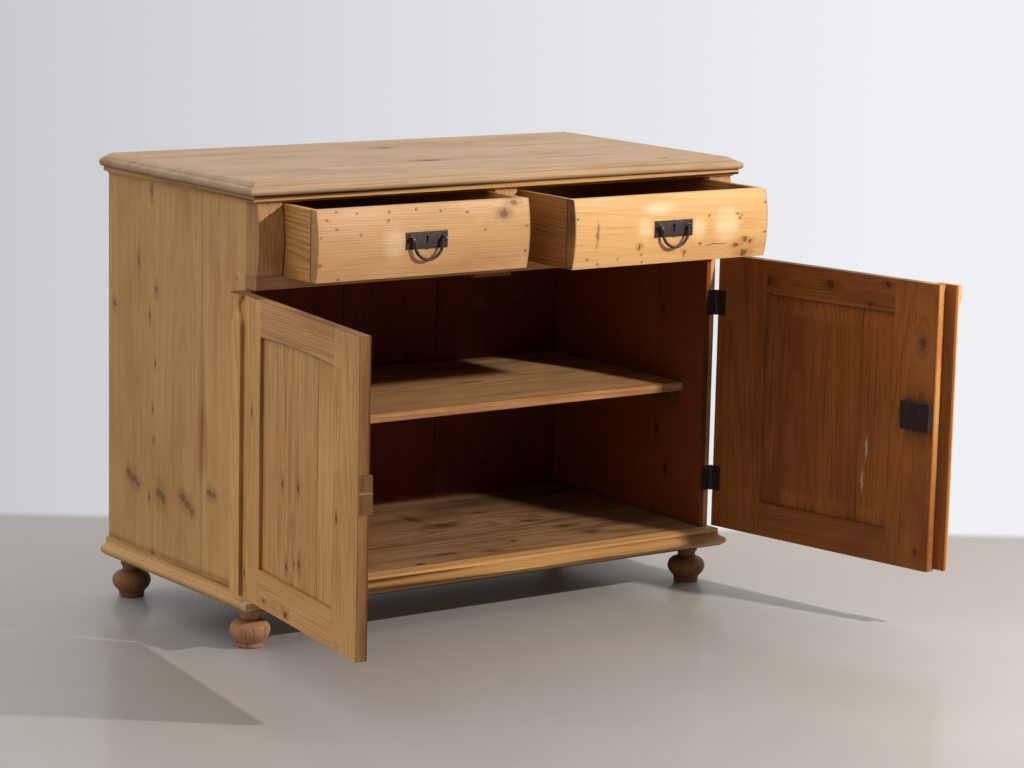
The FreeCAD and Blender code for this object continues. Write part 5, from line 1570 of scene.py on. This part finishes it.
LEFT_DOOR = Door(
    "left", (-580.0, -273.0), closed=0.0, opened=-98.0, inner_sign=1, seed=71.0, stains=0.4, ripple=9.0,
    edge_grime=0.5,
    knots={
        "hinge_stile": ((493, 99, 8, 4), (173, 68, 4, 3)),
        "meeting_stile": ((367, 488, 6, 5),),
        "bottom_rail": ((266, 137, 6, 5), (163, 140, 4, 4)),
        "panel": ((378, 232, 6, 4), (382, 303, 7, 5), (225, 252, 8, 5), (241, 309, 8, 5), (237, 288, 5, 3)),
    },
    marks={
        "panel": (Mark((450, 275, 220, 18), Shade.RED, 0.2), Mark((330, 222, 150, 9), Shade.RED, 0.25)),
        # A pale line across the keeper: a painted highlight where its two blocks meet.
        "keeper": (Mark((428, 563, 1.6, 40), Shade.PALE, 0.2),),
        "meeting_stile": (Mark((420, 530, 80, 26), Shade.RED, 0.22),
                          Mark((416, 579, 400, 3), Shade.BRICK, 0.45)),
        "top_rail": (Mark((300, 672, 220, 40), Shade.RED, 0.2),),
    })
RIGHT_DOOR = Door(
    "right", (580.0, -273.0), closed=180.0, opened=100.2, inner_sign=-1, seed=84.0, stains=0.9, ripple=4.0,
    knots={
        "top_rail": ((140, 665, 9, 8), (304, 678, 9, 8), (452, 695, 6, 5), (410, 652, 5, 3)),
        "meeting_stile": ((587, 545, 10, 8), (160, 548, 5, 4)),
    },
    marks={
        "panel": (Mark((417, 304, 187, 132), Shade.BRICK, 0.45, True, True),
                  Mark((352, 412, 24, 2.6), Shade.PALE, 0.6, True),
                  Mark((288, 405, 24, 2.6), Shade.PALE, 0.6, True)),
        "meeting_stile": (Mark((575, 545, 44, 24), Shade.PALE, 0.06, True),
                          Mark((440, 540, 60, 50), Shade.DIRT, 0.3, True),
                          Mark((416, 579, 400, 3), Shade.BRICK, 0.7),
                          # A solid dark spot: painted shade in the lock's keyhole through the stile.
                          Mark((440, 533, 14, 8), Shade.DIRT, 4.0)),
        # Darkens the astragal's inside face along its whole length.
        "astragal": (Mark((420, 588, 400, 14), Shade.DIRT, 0.5, True),),
    })
# Its face's darker tone is painted shade: it stands farther from the lamp.
LEFT_DRAWER = Drawer(
    "left", middle=-273.0, pull=117.0, seed=101.0, tone=Tone.DULL, side_tone=Tone.DOOR, end_grime=0.2,
    knots=((182, 42, 7, 8), (207, 62, 7, 5)),
    # The pale marks are rubbed wear, and also painted highlights of the lamp on the wax.
    marks=(Mark((-72, 0, 24, 30), Shade.PALE, 0.4), Mark((182, 42, 14, 14), Shade.GREY, 0.35),
           Mark((-160, 45, 70, 24), Shade.PALE, 0.15), Mark((60, -50, 120, 20), Shade.RED, 0.1)),
    nails=((-201, 62), (-155, 58), (-84, 57), (-22, 59), (35, 53), (95, 48), (-222, 48), (-86, 41),
           (-202, 30), (-237, 16), (-150, 17), (-238, -36), (234, 14), (234, -36), (137, 13), (-195, -66)))
# Its sides' dark tone and the dark left end of its face are painted shade, between the drawers.
RIGHT_DRAWER = Drawer(
    "right", middle=273.0, pull=185.0, seed=113.0, tone=Tone.FRONT, side_tone=Tone.RUSSET, end_grime=0.9,
    knots=((165, -43, 6, 4), (186, -33, 6, 5), (188, -60, 8, 6), (200, -37, 4, 4), (-82, -33, 3, 6),
           (32, -50, 3, 4)),
    # The pale marks are rubbed wear, and also painted highlights of the lamp on the wax.
    marks=(Mark((-35, 40, 40, 11), Shade.PALE, 0.35), Mark((-72, 0, 17, 24), Shade.PALE, 0.4),
           Mark((65, -5, 17, 24), Shade.PALE, 0.35), Mark((138, 0, 30, 36), Shade.PALE, 0.4),
           Mark((190, -50, 44, 22), Shade.GREY, 0.2), Mark((-188, -4, 3, 26), Shade.DIRT, 0.8)),
    nails=((-210, -52), (-183, -62), (-75, -50), (-72, -65), (-133, -55), (32, -57), (70, -35), (165, 20),
           (175, 18), (170, 12), (92, 20), (-238, 30), (238, 40), (238, -20)),
    cracks=((80, 145, -39),))


def main() -> None:
    """Builds and dresses each sub-assembly in order."""
    logging.basicConfig(level=logging.INFO, format="%(name)s: %(message)s")
    Studio().build()
    carcass = Carcass()
    carcass.build()
    carcass.dress()
    Feet().build()
    for part in (LEFT_DOOR, RIGHT_DOOR, LEFT_DRAWER, RIGHT_DRAWER):
        part.build()
        part.dress()


if __name__ == "__main__":
    main()
